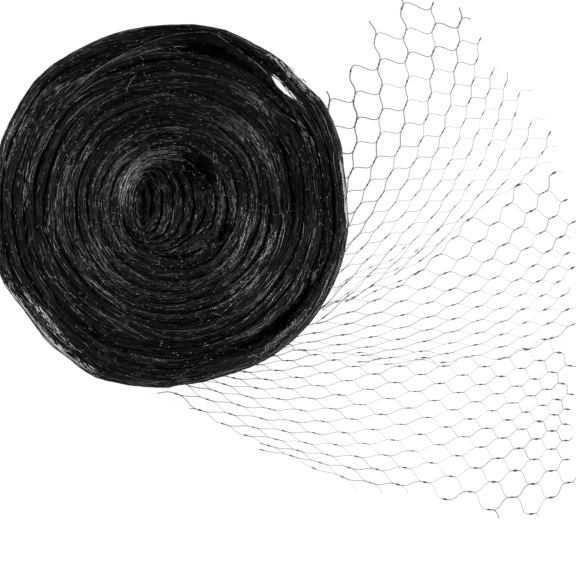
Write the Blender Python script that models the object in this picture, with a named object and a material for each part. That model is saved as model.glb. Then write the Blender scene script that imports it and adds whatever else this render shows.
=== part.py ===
"""Bird netting roll: black extruded garden netting, wound flat, with its loose end fanned out beside it.

Units are metres and +Z is up. The origin is the centre of the roll's flat underside, on the surface that
the roll lies on. Two solids are made: "roll", the wound netting, and "loose_end", one flat sheet of net
whose open meshes are cut through. Tables are in millimetres and degrees, with their columns named.
"""

import math

import bmesh
import bpy
import numpy as np

MM = 0.001

# ---- driving dimensions of the roll ----
ROLL_HEIGHT = 0.075           # width of the gathered netting band
ROLL_START_RADIUS = 0.1075    # where the outermost turn begins, at the seam
TURN_PITCH = 0.0068           # one turn of gathered netting
OUTER_TURNS = 11              # turns between the well and the outermost row
SEAM_ANGLE = math.radians(270.0)   # the outermost turn runs out here, on the lower side
TAPER_ANGLE = math.radians(34.0)   # the outermost turn thins over this much before the seam
TAPER_LEAST = 0.22            # what is left of its thickness at the seam
COLUMNS = 56                  # points round one turn
VALLEY_DEPTH = 0.0042         # from a turn's crown to the valley beside it
CROWN_WAVE = 0.0009           # how unevenly high the turns stand
CROWN_WAVES_ROUND = 2         # waves of that in one turn
CROWN_WAVE_DRIFT = 2.3        # radians by which the wave shifts from a turn to the next

# The well in the middle: small turns that sit lower and lean to one side.
WELL_TURNS = 7
WELL_TURN_PITCH = 0.0040
WELL_SHIFT = 0.0026           # each smaller turn sits this much further to -X
WELL_STEP = 0.0024            # and this much lower
WELL_STRETCH = 0.028          # how much longer it is along Y, by the turns inside squared
WELL_VALLEY_DEPTH = 0.0016

# The side wall, from the top shoulder to the underside. The gathered band lies in long soft folds there,
# which wander up and down and in and out by the wave.
SHOULDER_DROP = 0.0026
WALL_ROWS = (
    # height_mm, inset_mm from the outermost row, wave_mm
    (67.0, -0.8, 0.5),
    (57.0, 0.9, 0.9),
    (45.0, -1.2, 0.9),
    (31.0, 0.9, 1.0),
    (19.0, -0.7, 0.8),
    (8.0, 1.4, 0.3),
    (3.6, 4.8, 0.0),
    (0.0, 9.6, 0.0),
)
WALL_WAVES_ROUND = 5          # waves of the wall's folds in one turn
WALL_WAVE_DRIFT = 0.9         # radians by which the wave shifts with each millimetre of height
WALL_RISE = 2.0               # rise of a fold, as a share of its wave in and out
WALL_RISE_PACE = 0.6          # how slowly the folds wander up and down beside that

# How far the rim stands out of a true spiral. Turns inside it follow less and less.
RIM_FADE = 3
RIM = (
    # angle_deg, out_mm
    (0, -2.5),
    (12, -2.8),
    (22, -0.5),
    (35, 2.0),
    (45, 0.5),
    (53, 1.6),
    (65, 0.0),
    (90, -1.3),
    (115, -1.2),
    (135, 0.1),
    (152, -2.5),
    (180, -2.2),
    (203, -0.8),
    (216, -3.2),
    (236, -1.8),
    (248, 1.0),
    (270, 1.5),
    (287, 0.3),
    (305, 1.7),
    (320, 1.3),
    (340, 0.1),
    (352, -0.9),
)

# Main twists: where a turn bulges out, is pressed in, stands up or leaves a hollow.
TWISTS = (
    # angle_deg, radius_mm, half_angle_deg, reach_mm, out_mm, up_mm
    (47, 103, 13, 8, -3.2, 0.0),
    (77, 103, 10, 7, 3.0, 0.6),
    (77, 96, 9, 4, 0.0, -5.0),
    (110, 96, 15, 8, -2.6, 0.8),
    (150, 101, 24, 8, 2.4, 0.8),
    (205, 93, 40, 5, 0.0, -2.4),
    (318, 98, 14, 4, 0.0, -6.0),
    (300, 54, 60, 5, 1.0, -1.6),
    (60, 49, 50, 5, -0.8, -1.6),
    (155, 62, 34, 6, 1.4, -1.2),
    (20, 78, 30, 6, 1.6, 1.0),
    (250, 76, 26, 6, -1.4, 1.0),
)

# The slit where the outermost turn stands off the rest.
SLIT_ANGLE = math.radians(47.3)
SLIT_RADIUS = 0.1004
SLIT_LENGTH = 0.0175
SLIT_WIDTH = 0.0052
SLIT_POINTS = 7
CUTTER_MARGIN = 0.01          # how far the cutter stands out above and below

# ---- driving dimensions of the loose end ----
NET_THICKNESS = 0.0012
STRAND_WIDTH = 0.0013
KNOT_LENGTH = 0.0040          # the short double strand where two strands join
KNOT_WIDTH = 0.0017
FOLD_WIDTH = 0.0024           # the doubled net along a pleat
FOLD_HEIGHT = 0.0026
TUCK = 0.0044                 # how far the net runs in under the roll's round bottom rim
SMALLEST_GAP = 0.0042         # narrower meshes stay closed
SHORTEST_STRAND = 0.0018      # a strand cut shorter than this is drawn up to the fold
MERGE_DISTANCE = 0.0030       # cut strands that meet a fold closer than this share a point
MITRE_LIMIT = 0.42            # of the shorter strand, for sharp corners
CUT_HALVINGS = 24             # how finely a cut strand's end is found
STRAIGHT_TURN = 0.05          # sine of a bend too slight to need a mitre

# The net is pulled open into three panels. Knots are counted across a panel by line, and outward by step;
# a knot stands where line + step is even. Each row below is one pull line: its number, then its X and Y in
# millimetres at each of the panel's named steps, from the roll outward.
PANELS = {
    "upper": {
        "steps": (1, 6, 11),
        "line_range": (0, 22),
        "step_range": (-1, 15),
        "lines": (
            (3, 109, -59, 178, -4, 235, 46),
            (8, 104, -36, 165, 14, 209, 61),
            (14, 90, -20, 140, 35, 182, 83),
            (20, 70, 6, 97, 64, 134, 115),
        ),
    },
    "middle": {
        "steps": (1, 6, 11),
        "line_range": (-2, 22),
        "step_range": (-4, 14),
        "lines": (
            (2, 98, -97, 187, -93, 270, -81),
            (7, 103, -86, 190, -75, 256, -55),
            (13, 109, -66, 187, -48, 246, -29),
            (19, 99, -44, 171, -13, 231, 9),
        ),
    },
    "lower": {
        "steps": (2, 6, 11, 16),
        "line_range": (-1, 20),
        "step_range": (-1, 20),
        "lines": (
            (3, 14, -131, 80, -150, 157, -172, 224, -182),
            (8, 26, -115, 93, -134, 168, -143, 227, -145),
            (13, 41, -105, 106, -113, 178, -116, 232, -119),
            (18, 61, -93, 116, -91, 183, -88, 241, -91),
        ),
    },
}

# The cut edge of the loose end, from the roll's right side round to its lower side.
CUT_EDGE = (
    # x_mm, y_mm
    (60, 60),
    (94, 76),
    (110, 92),
    (122, 104),
    (138, 130),
    (166, 130),
    (195, 104),
    (222, 70),
    (244, 32),
    (252, 8),
    (252, -164),
    (236, -195),
    (196, -195),
    (166, -187),
    (120, -178),
    (80, -160),
    (30, -138),
    (2, -118),
    (-4, -100),
)

# The two pleats, each a fold line from the roll outward; between two panels the net lies doubled there.
UPPER_FOLD = (
    # x_mm, y_mm
    (76, -82),
    (101, -64),
    (123, -52),
    (166, -27),
    (188, -5),
    (216, 14),
    (241, 28),
    (260, 38),
)
LOWER_FOLD = (
    # x_mm, y_mm
    (40, -85),
    (79, -89),
    (119, -94),
    (170, -97),
    (206, -93),
    (220, -88),
    (251, -79),
    (270, -73),
)

# Colours of the near-black netting.
ROLL_COLOR = (0.012, 0.012, 0.013, 1.0)
NET_COLOR = (0.016, 0.016, 0.017, 1.0)
NETTING_ROUGHNESS = 0.42
SHARP_ANGLE = math.radians(50.0)


def table_column(rows, index):
    """One column of a table, as an array."""
    return np.array([row[index] for row in rows], float)


def periodic_value(angles_deg, rows):
    """Smooth closed curve through a table of (angle, value), read at some angles."""
    order = np.argsort(table_column(rows, 0))
    known = table_column(rows, 0)[order]
    value = table_column(rows, 1)[order]
    known = np.concatenate((known[-1:] - 360.0, known, known[:1] + 360.0))
    value = np.concatenate((value[-1:], value, value[:1]))
    angles = np.mod(angles_deg, 360.0)
    segment = np.clip(np.searchsorted(known, angles, side="right") - 1, 0, len(known) - 2)
    share = (angles - known[segment]) / (known[segment + 1] - known[segment])
    ease = share * share * (3.0 - 2.0 * share)
    return value[segment] * (1.0 - ease) + value[segment + 1] * ease


def angle_distance(first_deg, second_deg):
    """Smallest turn between two directions, in degrees."""
    return np.abs(np.mod(first_deg - second_deg + 180.0, 360.0) - 180.0)


def twisted(radius, height, angle_deg):
    """Radius and height after the main twists have pushed the turns about."""
    out = np.zeros_like(radius)
    up = np.zeros_like(radius)
    for twist_angle, twist_radius, half_angle, reach, push, lift in TWISTS:
        across = (radius / MM - twist_radius) / reach
        along = angle_distance(angle_deg, twist_angle) / half_angle
        weight = np.exp(-across * across - along * along)
        out += push * MM * weight
        up += lift * MM * weight
    return radius + out, height + up


def spiral_rows():
    """Points of the roll's top face: rows run along the turns, valley and crown in turn.

    Row j begins at the seam where row j - 2 ends, so the rows wind outward as one spiral.
    Returns an array indexed by row, column and coordinate.
    """
    turns = WELL_TURNS + OUTER_TURNS
    rows = 2 * turns + 1
    row = np.arange(rows)[:, None]
    column = np.arange(COLUMNS)[None, :]
    round_share = column / COLUMNS
    turn = row / 2.0 + round_share
    angle = SEAM_ANGLE + 2.0 * math.pi * round_share + 0.0 * row
    angle_deg = np.degrees(angle)

    # How many turns a point lies inside the well's edge, and how far out of it.
    inside = np.maximum(WELL_TURNS - turn, 0.0)
    outside = np.maximum(turn - WELL_TURNS, 0.0)
    edge_radius = ROLL_START_RADIUS - OUTER_TURNS * TURN_PITCH
    radius = edge_radius + outside * TURN_PITCH - inside * WELL_TURN_PITCH

    # The outermost turn thins out toward the seam.
    before_seam = (1.0 - round_share) * 2.0 * math.pi
    thinning = np.clip(1.0 - before_seam / TAPER_ANGLE, 0.0, 1.0)
    thinning = (1.0 - TAPER_LEAST) * thinning * thinning * (3.0 - 2.0 * thinning)
    above_last = np.maximum(row - (rows - 3), 0) / 2.0
    radius = radius - above_last * TURN_PITCH * thinning

    # The rim's own unevenness fades out toward the middle.
    rim_share = (radius / ROLL_START_RADIUS) ** RIM_FADE
    radius = radius + periodic_value(angle_deg, RIM) * MM * rim_share

    valley = (row % 2 == 0)
    depth = np.where(turn < WELL_TURNS, WELL_VALLEY_DEPTH, VALLEY_DEPTH)
    height = ROLL_HEIGHT - WELL_STEP * inside - np.where(valley, depth, 0.0)
    wave = np.sin(CROWN_WAVE_DRIFT * turn + CROWN_WAVES_ROUND * angle)
    height = height + CROWN_WAVE * wave * (turn > WELL_TURNS)
    height = np.where(row == rows - 1, ROLL_HEIGHT - SHOULDER_DROP, height)
    radius, height = twisted(radius, height, angle_deg)

    x = radius * np.cos(angle) - WELL_SHIFT * inside
    y = radius * np.sin(angle) * (1.0 + WELL_STRETCH * inside * inside)
    return np.stack((x, y, height), axis=-1)


def build_roll_mesh():
    """Close the spiral top with a well floor, a side wall and a flat underside."""
    top = spiral_rows()
    rows = top.shape[0]
    mesh = bmesh.new()
    grid = [[mesh.verts.new(point) for point in row] for row in top]

    # The top face, and the seam where each row meets the row two further out.
    last = COLUMNS - 1
    for j in range(rows - 1):
        for c in range(last):
            mesh.faces.new((grid[j][c], grid[j + 1][c], grid[j + 1][c + 1], grid[j][c + 1]))
    for j in range(rows - 3):
        mesh.faces.new((grid[j][last], grid[j + 1][last], grid[j + 3][0], grid[j + 2][0]))

    # The well's floor is a shallow cone on the innermost row.
    inner = list(grid[0]) + [grid[2][0], grid[1][0]]
    middle = np.mean(top[0], axis=0) - np.array((0.0, 0.0, WELL_VALLEY_DEPTH))
    hub = mesh.verts.new(middle)
    for k, vert in enumerate(inner):
        mesh.faces.new((hub, vert, inner[(k + 1) % len(inner)]))

    # The side wall drops from the outermost row; the seam's small step is part of it.
    rim = list(grid[rows - 1]) + [grid[rows - 2][last], grid[rows - 3][last]]
    upper = rim
    for height, inset, wave in WALL_ROWS:
        lower = []
        for vert in rim:
            distance = math.hypot(vert.co.x, vert.co.y)
            phase = WALL_WAVES_ROUND * math.atan2(vert.co.y, vert.co.x) + WALL_WAVE_DRIFT * height
            scale = 1.0 - (inset + wave * math.sin(phase)) * MM / distance
            level = (height + WALL_RISE * wave * math.cos(WALL_RISE_PACE * phase)) * MM
            lower.append(mesh.verts.new((vert.co.x * scale, vert.co.y * scale, level)))
        for k in range(len(rim)):
            n = (k + 1) % len(rim)
            mesh.faces.new((upper[k], lower[k], lower[n], upper[n]))
        upper = lower
    mesh.faces.new(list(reversed(upper)))
    return mesh


def make_slit_cutter():
    """A tall lens-shaped prism that follows the turn it lies beside."""
    bend = SLIT_LENGTH / (2.0 * SLIT_RADIUS)
    outline = []
    for side in (1.0, -1.0):
        for k in range(SLIT_POINTS):
            share = -1.0 + 2.0 * k / SLIT_POINTS
            offset = 0.5 * SLIT_WIDTH * (1.0 - share * share)
            angle = SLIT_ANGLE + side * share * bend
            radius = SLIT_RADIUS + side * offset
            outline.append((radius * math.cos(angle), radius * math.sin(angle)))
    mesh = bmesh.new()
    bottom = [mesh.verts.new((x, y, -CUTTER_MARGIN)) for x, y in outline]
    top = [mesh.verts.new((x, y, ROLL_HEIGHT + CUTTER_MARGIN)) for x, y in outline]
    mesh.faces.new(list(reversed(bottom)))
    mesh.faces.new(top)
    for k in range(len(outline)):
        n = (k + 1) % len(outline)
        mesh.faces.new((bottom[k], bottom[n], top[n], top[k]))
    bmesh.ops.recalc_face_normals(mesh, faces=mesh.faces)
    data = bpy.data.meshes.new("slit_cutter")
    mesh.to_mesh(data)
    mesh.free()
    cutter = bpy.data.objects.new("slit_cutter", data)
    bpy.context.collection.objects.link(cutter)
    cutter.hide_render = True
    cutter.display_type = "WIRE"
    return cutter


# ---- the loose end: a flat graph of strands, then a plate with one wall round each open mesh ----


def lagrange_weights(nodes, value):
    """Weights that carry values known at the nodes to a place between or just beyond them."""
    weights = []
    for i, own in enumerate(nodes):
        weight = 1.0
        for j, other in enumerate(nodes):
            if i != j:
                weight *= (value - other) / (own - other)
        weights.append(weight)
    return weights


def panel_point(panel, line, step):
    """Place on the surface of a knot's count, from the panel's four pull lines and three steps."""
    rows = panel["lines"]
    across = lagrange_weights([row[0] for row in rows], line)
    outward = lagrange_weights(panel["steps"], step)
    x = y = 0.0
    for row, row_weight in zip(rows, across):
        for k, step_weight in enumerate(outward):
            x += row[1 + 2 * k] * row_weight * step_weight
            y += row[2 + 2 * k] * row_weight * step_weight
    return np.array((x, y)) * MM


def inner_limit(point):
    """Distance of a point outside the hidden inner end of the net, under the roll's bottom rim."""
    angle_deg = math.degrees(math.atan2(point[1], point[0]))
    turned = math.radians(angle_deg) - SEAM_ANGLE
    share = math.remainder(turned, 2.0 * math.pi) / (2.0 * math.pi)
    radius = ROLL_START_RADIUS + TURN_PITCH * share + float(periodic_value(angle_deg, RIM)) * MM
    return math.hypot(point[0], point[1]) - (radius - TUCK)


def above_line(point, fold):
    """Height of a point over a fold line, in Y."""
    return point[1] - np.interp(point[0], table_column(fold, 0) * MM, table_column(fold, 1) * MM)


def inside_cut_edge(point):
    """True where a point lies inside the closed outline of the loose end."""
    inside = False
    count = len(CUT_EDGE)
    for k in range(count):
        x0, y0 = CUT_EDGE[k][0] * MM, CUT_EDGE[k][1] * MM
        x1, y1 = CUT_EDGE[(k + 1) % count][0] * MM, CUT_EDGE[(k + 1) % count][1] * MM
        if (y0 > point[1]) != (y1 > point[1]):
            if point[0] < x0 + (point[1] - y0) * (x1 - x0) / (y1 - y0):
                inside = not inside
    return inside


def panel_limits(name):
    """The signed distances that must all be positive inside a panel, each with its border's name."""
    limits = [("root", inner_limit)]
    if name == "upper":
        limits.append(("upper_fold", lambda point: above_line(point, UPPER_FOLD)))
    if name == "middle":
        limits.append(("upper_fold", lambda point: -above_line(point, UPPER_FOLD)))
        limits.append(("lower_fold", lambda point: above_line(point, LOWER_FOLD)))
    if name == "lower":
        limits.append(("lower_fold", lambda point: -above_line(point, LOWER_FOLD)))
    return limits


class StrandGraph:
    """Points on the surface and the strands that join them."""

    def __init__(self):
        self.points = []
        self.borders = []
        self.strands = {}

    def add_point(self, place, border=None):
        """Add a point, or find the one already on the same border close by."""
        if border:
            for index, known in enumerate(self.points):
                if self.borders[index] and np.hypot(*(known - place)) < MERGE_DISTANCE:
                    return index
        self.points.append(np.array(place))
        self.borders.append(border)
        return len(self.points) - 1

    def pull_to_border(self, index, place, border):
        """Move a point that lies beside a border on to it."""
        if self.borders[index] is None:
            self.points[index] = np.array(place)
            self.borders[index] = border

    def add_strand(self, first, second, kind):
        """Join two points with a strand, a knot or a fold."""
        if first != second:
            self.strands[(min(first, second), max(first, second))] = kind

    def neighbours(self):
        """For each point, the points it is joined to."""
        joined = [[] for _ in self.points]
        for first, second in self.strands:
            joined[first].append(second)
            joined[second].append(first)
        return joined


def cut_place(inside, outside, limit):
    """Where the straight strand between two points crosses a border, by halving."""
    low, high = 0.0, 1.0
    for _ in range(CUT_HALVINGS):
        half = 0.5 * (low + high)
        if limit(inside + (outside - inside) * half) > 0.0:
            low = half
        else:
            high = half
    return inside + (outside - inside) * low


def add_panel(graph, name):
    """Add a panel's knots and strands, cut where they run past its borders."""
    panel = PANELS[name]
    limits = panel_limits(name)
    ends = {}
    for line in range(panel["line_range"][0], panel["line_range"][1] + 1):
        for step in range(panel["step_range"][0], panel["step_range"][1] + 1):
            if (line + step) % 2:
                continue
            centre = panel_point(panel, line, step)
            pull = panel_point(panel, line, step + 0.5) - panel_point(panel, line, step - 0.5)
            half_knot = 0.5 * KNOT_LENGTH * pull / np.hypot(*pull)
            ends[(line, step, "tail")] = centre - half_knot
            ends[(line, step, "head")] = centre + half_knot

    indices = {}

    def inside(place):
        return inside_cut_edge(place) and all(limit(place) > 0.0 for _, limit in limits)

    def point_index(key):
        if key not in indices:
            indices[key] = graph.add_point(ends[key])
        return indices[key]

    def join(first, second, kind):
        if first not in ends or second not in ends:
            return
        if not inside(ends[first]):
            first, second = second, first
        if not inside(ends[first]):
            return
        if inside(ends[second]):
            graph.add_strand(point_index(first), point_index(second), kind)
            return
        crossed = [(border, limit) for border, limit in limits if limit(ends[second]) <= 0.0]
        if crossed:
            border, limit = crossed[0]
            place = cut_place(ends[first], ends[second], limit)
            if np.hypot(*(place - ends[first])) < SHORTEST_STRAND:
                graph.pull_to_border(point_index(first), place, border)
            elif inside_cut_edge(place):
                graph.add_strand(point_index(first), graph.add_point(place, border), kind)

    for line, step, end in list(ends):
        if end == "tail":
            join((line, step, "tail"), (line, step, "head"), "knot")
        else:
            join((line, step, "head"), (line + 1, step + 1, "tail"), "strand")
            join((line, step, "head"), (line - 1, step + 1, "tail"), "strand")


def join_border(graph, border, order):
    """Join the cut strands of a border in order, as one fold."""
    members = [index for index, name in enumerate(graph.borders) if name == border]
    members.sort(key=lambda index: order(graph.points[index]))
    for first, second in zip(members, members[1:]):
        graph.add_strand(first, second, "fold")


def keep_largest(graph):
    """Drop the strands that hang on to nothing, such as a lone knot past the cut edge."""
    joined = graph.neighbours()
    best = set()
    seen = set()
    for start in range(len(graph.points)):
        if start in seen:
            continue
        group = {start}
        waiting = [start]
        while waiting:
            for other in joined[waiting.pop()]:
                if other not in group:
                    group.add(other)
                    waiting.append(other)
        seen |= group
        if len(group) > len(best):
            best = group
    graph.strands = {pair: kind for pair, kind in graph.strands.items() if pair[0] in best}


def build_graph():
    """The whole loose end as one flat graph."""
    graph = StrandGraph()
    for name in PANELS:
        add_panel(graph, name)
    join_border(graph, "upper_fold", lambda place: place[0])
    join_border(graph, "lower_fold", lambda place: place[0])
    join_border(graph, "root", lambda place: math.atan2(place[1], place[0]))
    keep_largest(graph)
    return graph


def strand_width(kind):
    """Width of a strand, a knot or a fold."""
    return {"strand": STRAND_WIDTH, "knot": KNOT_WIDTH, "fold": FOLD_WIDTH}[kind]


def around_points(graph):
    """For each point, its neighbours sorted counter-clockwise."""
    joined = graph.neighbours()
    for index, others in enumerate(joined):
        own = graph.points[index]
        others.sort(key=lambda other: math.atan2(*(graph.points[other] - own)[::-1]))
    return joined


def corner_places(graph, before, own, after):
    """Corner of the strands before-own and own-after, on the left of that walk.

    A walk that turns back at a loose end has two corners, one on each side of the end.
    """
    place = graph.points[own]
    first = place - graph.points[before]
    second = graph.points[after] - place
    first_length = np.hypot(*first)
    second_length = np.hypot(*second)
    first = first / first_length
    second = second / second_length
    first_left = np.array((-first[1], first[0]))
    second_left = np.array((-second[1], second[0]))
    half_first = 0.5 * strand_width(graph.strands[(min(before, own), max(before, own))])
    half_second = 0.5 * strand_width(graph.strands[(min(own, after), max(own, after))])
    if before == after:
        return [place + first_left * half_first, place - first_left * half_first]
    turn = first[0] * second[1] - first[1] * second[0]
    if abs(turn) < STRAIGHT_TURN:
        mean = first_left + second_left
        return [place + mean / np.hypot(*mean) * 0.5 * (half_first + half_second)]
    # Where the two offset lines meet: along the first strand by this much past the point.
    along = (half_second - half_first * float(first @ second)) / -turn
    offset = first_left * half_first + first * along
    reach = np.hypot(*offset)
    limit = max(MITRE_LIMIT * min(first_length, second_length), half_first)
    if reach > limit:
        offset = offset * limit / reach
    return [place + offset]


def mesh_walks(graph, joined):
    """Closed walks round every mesh of the net, and one round its outside, each with the mesh on its left."""
    walks = []
    used = set()
    for first, second in list(graph.strands):
        for start in ((first, second), (second, first)):
            if start in used:
                continue
            walk = []
            here = start
            while here not in used:
                used.add(here)
                walk.append(here)
                before, own = here
                others = joined[own]
                after = others[(others.index(before) - 1) % len(others)]
                here = (own, after)
            walks.append(walk)
    return walks


def walk_area(places):
    """Signed area inside a closed outline, and its length."""
    area = 0.0
    length = 0.0
    for k, place in enumerate(places):
        other = places[(k + 1) % len(places)]
        area += 0.5 * (place[0] * other[1] - place[1] * other[0])
        length += np.hypot(*(other - place))
    return area, length


def build_net_mesh(graph):
    """Thicken the graph into one plate, open in each mesh that is wide enough."""
    joined = around_points(graph)
    mesh = bmesh.new()
    raised = {
        index
        for index, border in enumerate(graph.borders)
        if border in ("upper_fold", "lower_fold") and inner_limit(graph.points[index]) > TUCK
    }
    corners = {}
    open_meshes = 0
    for walk in mesh_walks(graph, joined):
        places = []
        owners = []
        for k, (before, own) in enumerate(walk):
            after = walk[(k + 1) % len(walk)][1]
            found = corner_places(graph, before, own, after)
            owners.append((before, own, after, len(found)))
            places.extend(found)
        top = []
        bottom = []
        place_index = 0
        for before, own, after, count in owners:
            height = FOLD_HEIGHT if own in raised else NET_THICKNESS
            pair = []
            for _ in range(count):
                x, y = places[place_index]
                top.append(mesh.verts.new((x, y, height)))
                bottom.append(mesh.verts.new((x, y, 0.0)))
                pair.append((top[-1], bottom[-1]))
                place_index += 1
            corners[(before, own)] = (after, pair)
        area, length = walk_area(places)
        outside = area < 0.0
        width = 0.0 if outside else 4.0 * area / length
        if outside or width >= SMALLEST_GAP:
            open_meshes += 0 if outside else 1
            for k in range(len(top)):
                n = (k + 1) % len(top)
                mesh.faces.new((top[k], top[n], bottom[n], bottom[k]))
        else:
            webs = [mesh.faces.new(top), mesh.faces.new(list(reversed(bottom)))]
            bmesh.ops.triangulate(mesh, faces=webs, ngon_method="BEAUTY")
    print("meshes cut through:", open_meshes)

    # Each strand is a flat bar between its two walks; each join is a small plate between its corners.
    arrive = {}
    leave = {}
    for (before, own), (after, pair) in corners.items():
        arrive[(before, own)] = pair[0]
        leave[(own, after)] = pair[-1]
    for first, second in graph.strands:
        near_left, far_left = leave[(first, second)], arrive[(first, second)]
        near_right, far_right = arrive[(second, first)], leave[(second, first)]
        mesh.faces.new((near_left[0], near_right[0], far_right[0], far_left[0]))
        mesh.faces.new((near_left[1], far_left[1], far_right[1], near_right[1]))
    for own, others in enumerate(joined):
        if len(others) > 2:
            ring = [arrive[(other, own)] for other in others]
            mesh.faces.new([pair[0] for pair in ring])
            mesh.faces.new([pair[1] for pair in reversed(ring)])
    return mesh


def make_material(name, color):
    """Near-black plastic with a slight sheen."""
    material = bpy.data.materials.new(name)
    material.use_nodes = True
    shader = material.node_tree.nodes["Principled BSDF"]
    shader.inputs["Base Color"].default_value = color
    shader.inputs["Roughness"].default_value = NETTING_ROUGHNESS
    shader.inputs["Metallic"].default_value = 0.0
    material.diffuse_color = color
    return material


def add_object(name, mesh, color):
    """Turn a bmesh into a named object with its own material."""
    data = bpy.data.meshes.new(name)
    mesh.to_mesh(data)
    mesh.free()
    data.materials.append(make_material(name + "_netting", color))
    made = bpy.data.objects.new(name, data)
    bpy.context.collection.objects.link(made)
    return made


def main():
    for old in list(bpy.data.objects):
        bpy.data.objects.remove(old, do_unlink=True)

    roll = add_object("roll", build_roll_mesh(), ROLL_COLOR)
    cut = roll.modifiers.new("slit", "BOOLEAN")
    cut.operation = "DIFFERENCE"
    cut.solver = "EXACT"
    cut.object = make_slit_cutter()
    roll.data.shade_smooth()
    roll.data.set_sharp_from_angle(angle=SHARP_ANGLE)

    add_object("loose_end", build_net_mesh(build_graph()), NET_COLOR)


main()
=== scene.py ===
# %% [markdown]
# # A roll of bird netting
#
# Bird netting is a black plastic net, extruded in one go, with six-sided meshes about 16 mm long. For sale
# it is gathered into a long loose band and wound up, like a coil of fire hose. This roll lies flat, with its
# loose end pulled open next to it. The lesson builds it from thousands of thin strands, each one a tube
# carried along a path, and every path comes out of one formula for a whole array of strands.

# %% Load the frame
import math

import bpy
import numpy as np
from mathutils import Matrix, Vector


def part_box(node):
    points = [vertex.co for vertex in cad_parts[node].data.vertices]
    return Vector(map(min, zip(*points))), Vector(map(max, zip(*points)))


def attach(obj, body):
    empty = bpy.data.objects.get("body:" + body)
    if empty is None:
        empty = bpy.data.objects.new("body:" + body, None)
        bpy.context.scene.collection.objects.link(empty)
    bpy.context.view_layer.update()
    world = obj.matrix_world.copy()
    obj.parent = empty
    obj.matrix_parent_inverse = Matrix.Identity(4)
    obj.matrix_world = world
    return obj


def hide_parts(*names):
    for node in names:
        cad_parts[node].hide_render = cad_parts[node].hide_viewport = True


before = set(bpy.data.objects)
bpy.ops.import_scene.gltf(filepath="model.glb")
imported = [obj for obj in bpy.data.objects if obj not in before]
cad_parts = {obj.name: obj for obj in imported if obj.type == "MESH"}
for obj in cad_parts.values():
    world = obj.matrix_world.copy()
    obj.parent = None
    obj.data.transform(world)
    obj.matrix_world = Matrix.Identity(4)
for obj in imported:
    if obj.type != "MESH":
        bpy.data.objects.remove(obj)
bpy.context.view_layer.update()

MM = 0.001
roll_low, roll_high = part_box("roll")
print("roll box:", [round(v, 4) for v in (*roll_low, *roll_high)])

# %% [markdown]
# The camera comes first, because every piece is judged through it. It hangs three metres above the table
# and looks straight down, so the roll's wall hides behind its own rim and the net lies flat in the view.
# The focal length follows from how much of the table fits across the frame.

# %% Camera
CAMERA_X = 0.0714
CAMERA_Y = -0.0506
CAMERA_HEIGHT = 3.0
VIEW_WIDTH = 0.3603            # how much of the table the frame takes in
SENSOR_WIDTH = 36.0

camera_data = bpy.data.cameras.new("camera")
camera_data.sensor_width = SENSOR_WIDTH
camera_data.lens = SENSOR_WIDTH * CAMERA_HEIGHT / VIEW_WIDTH
camera_data.clip_start = 0.1
camera_data.clip_end = 100.0
camera = bpy.data.objects.new("camera", camera_data)
camera.location = (CAMERA_X, CAMERA_Y, CAMERA_HEIGHT)
bpy.context.collection.objects.link(camera)
bpy.context.scene.camera = camera
print("focal length, mm:", round(camera_data.lens, 1))

# %% [markdown]
# Black strands show best on a light table, so the floor is a matte sheet that glows white. Three large
# softboxes stand to the left, to the right and behind. Light from the side makes a thin round strand shine
# where it runs across the light and leaves it dark where it runs along it, and that is what draws the
# turns of a black coil.

# %% Floor and light
FLOOR_HALF = 9.0
FLOOR_GLOW = 0.95
FLOOR_COLOR = (0.10, 0.10, 0.10, 1.0)
WHITE = (1.0, 1.0, 1.0, 1.0)
ROOM_GLOW = 0.05
SOFTBOXES = (
    # name, place and size in metres, power in watts
    ("left_softbox", (-1.45, 0.72, 1.35), 0.6, 30.0),
    ("right_softbox", (1.55, -0.62, 1.35), 0.6, 25.0),
    ("back_softbox", (1.25, 1.1, 1.7), 0.7, 20.0),
)
AIM = (0.07, -0.04, 0.04)


def make_floor():
    """A flat sheet with its corners at plus and minus FLOOR_HALF."""
    corner = np.array([(-1, -1, 0), (1, -1, 0), (1, 1, 0), (-1, 1, 0)], float) * FLOOR_HALF
    mesh = bpy.data.meshes.new("floor")
    mesh.from_pydata(corner.tolist(), [], [(0, 1, 2, 3)])
    material = bpy.data.materials.new("light_table")
    material.use_nodes = True
    shader = material.node_tree.nodes["Principled BSDF"]
    shader.inputs["Base Color"].default_value = FLOOR_COLOR
    shader.inputs["Roughness"].default_value = 1.0
    shader.inputs["Specular IOR Level"].default_value = 0.0
    shader.inputs["Emission Color"].default_value = WHITE
    shader.inputs["Emission Strength"].default_value = FLOOR_GLOW
    mesh.materials.append(material)
    floor = bpy.data.objects.new("floor", mesh)
    bpy.context.collection.objects.link(floor)


def make_softbox(name, place, size, power):
    """A square area light that faces the roll."""
    data = bpy.data.lights.new(name, "AREA")
    data.size = size
    data.energy = power
    lamp = bpy.data.objects.new(name, data)
    lamp.location = place
    lamp.rotation_euler = (Vector(AIM) - Vector(place)).to_track_quat("-Z", "Y").to_euler()
    bpy.context.collection.objects.link(lamp)


make_floor()
for softbox in SOFTBOXES:
    make_softbox(*softbox)

world = bpy.data.worlds.new("studio")
world.use_nodes = True
background = world.node_tree.nodes["Background"]
background.inputs["Color"].default_value = WHITE
background.inputs["Strength"].default_value = ROOM_GLOW
bpy.context.scene.world = world
bpy.context.scene.view_settings.view_transform = "Standard"
print("softboxes:", len(SOFTBOXES))

# %% [markdown]
# Every piece here is a grid of places worked out with numpy. One helper puts such arrays into a mesh. A
# second one makes tubes: a round profile carried along many paths at once, closed at both ends. A third adds
# up sines, because everything that wanders here, from a whole turn to a tuft of strands, does it in waves.

# %% Mesh helpers
rng = np.random.default_rng(20)


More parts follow.
